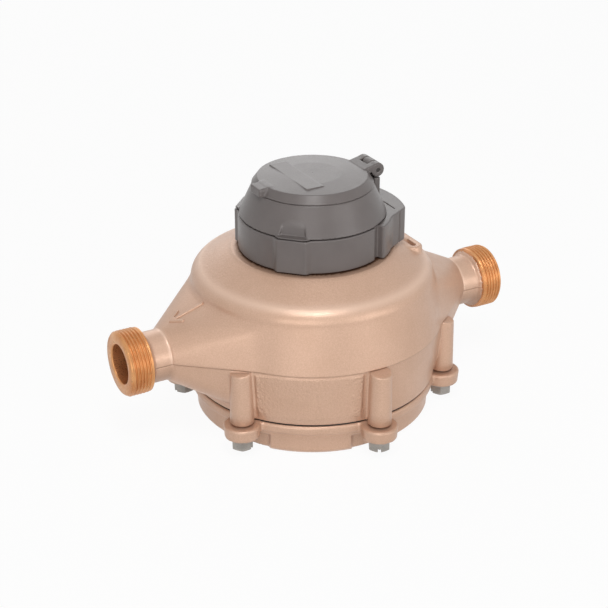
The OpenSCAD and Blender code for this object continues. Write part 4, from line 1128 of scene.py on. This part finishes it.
def writing(body, height, cuts=()):
    # closed flat letters, middle at the origin, reading along +x and up +y
    curve = bpy.data.curves.new("writing", "FONT")
    curve.body = body
    curve.align_x, curve.align_y = "CENTER", "CENTER"
    curve.extrude = 0.5
    curve.resolution_u = 3
    letters = bpy.data.objects.new("writing", curve)
    scene.collection.objects.link(letters)
    mesh = bpy.data.meshes.new_from_object(letters.evaluated_get(bpy.context.evaluated_depsgraph_get()))
    form = bmesh.new()
    form.from_mesh(mesh)
    bmesh.ops.remove_doubles(form, verts=form.verts, dist=1e-5)
    ys = [v.co.y for v in form.verts]
    low, tall = min(ys), max(ys) - min(ys)
    for share in cuts:
        bmesh.ops.bisect_plane(form, geom=form.verts[:] + form.edges[:] + form.faces[:],
                               plane_co=(0, low + tall * share, 0), plane_no=(0, 1, 0))
    form.verts.index_update()
    xs = [v.co.x for v in form.verts]
    middle = ((min(xs) + max(xs)) / 2, low + tall / 2)
    points = [((v.co.x - middle[0]) / tall * height, (v.co.y - middle[1]) / tall * height, v.co.z + 0.5)
              for v in form.verts]
    faces = [[v.index for v in face.verts] for face in form.faces]
    form.free()
    bpy.data.objects.remove(letters)
    bpy.data.curves.remove(curve)
    bpy.data.meshes.remove(mesh)
    return np.array(points), faces


def slab(outline, low, high):
    # upright walls over a four-cornered outline
    points = [(x, y, low) for x, y in outline] + [(x, y, high) for x, y in outline]
    faces = [[3, 2, 1, 0], [4, 5, 6, 7]] + [[n, (n + 1) % 4, 4 + (n + 1) % 4, 4 + n] for n in range(4)]
    return np.array(points), faces


def dialPrint(form):
    low, high = form["top"] - form["sink"], form["top"] + form["ink"]
    parts = []
    for n in range(100):
        inner, outer = form["longTick"] if n % 10 == 0 else form["tick"]
        half = form["longHalf"] if n % 10 == 0 else form["tickHalf"]
        c, s = math.cos(math.radians(3.6 * n)), math.sin(math.radians(3.6 * n))
        outline = [(a * c - b * s, a * s + b * c) for a, b in
                   ((inner, -half), (outer, -half), (outer, half), (inner, half))]
        parts.append(slab(outline, low, high))
    for n in range(10):
        letters, faces = writing(str(n), form["numeral"])
        c, s = math.cos(math.radians(36 * n)), -math.sin(math.radians(36 * n))
        x = form["numeralAt"] * c + letters[:, 1]
        y = form["numeralAt"] * s - letters[:, 0]
        parts.append((np.stack([x, y, low + (high - low) * letters[:, 2]], 1), faces))
    (x0, y0), (x1, y1) = form["window"]
    b = form["border"]
    for left, right in (((x0 - b, y0 - b), (x0, y1 + b)), ((x1, y0 - b), (x1 + b, y1 + b)),
                        ((x0, y0 - b), (x1, y0)), ((x0, y1), (x1, y1 + b))):
        outline = [left, (right[0], left[1]), right, (left[0], right[1])]
        parts.append(slab(outline, low, high))
    return gather(parts)


points, faces = dialPrint(dialForm)
makePiece("dialPrint", points, faces, "printBlack", "case", smooth=False)


# digits on the number wheels
digitForm = {"x": 19, "level": 121.0, "first": 17.5, "pitch": 5, "radius": 4.6, "proud": 0.08, "sink": 0.1,
             "height": 2.3, "cuts": (0.17, 0.33, 0.5, 0.67, 0.83)}


def wheelDigits(wheel, form):
    parts = []
    for n in range(10):
        letters, faces = writing(str(n), form["height"], form["cuts"])
        turn = -math.radians(36 * n) + letters[:, 1] / form["radius"]
        out = form["radius"] - form["sink"] + (form["sink"] + form["proud"]) * letters[:, 2]
        parts.append((np.stack([form["x"] + out * np.sin(turn),
                                form["first"] - form["pitch"] * wheel - letters[:, 0],
                                form["level"] + out * np.cos(turn)], 1), faces))
    return gather(parts)


for wheel in range(1, 7):
    points, faces = wheelDigits(wheel, digitForm)
    makePiece(f"wheelDigits{wheel}", points, faces, "digitWhite", f"wheel_{wheel}",
              smooth=False)
print("dial and number wheels printed")
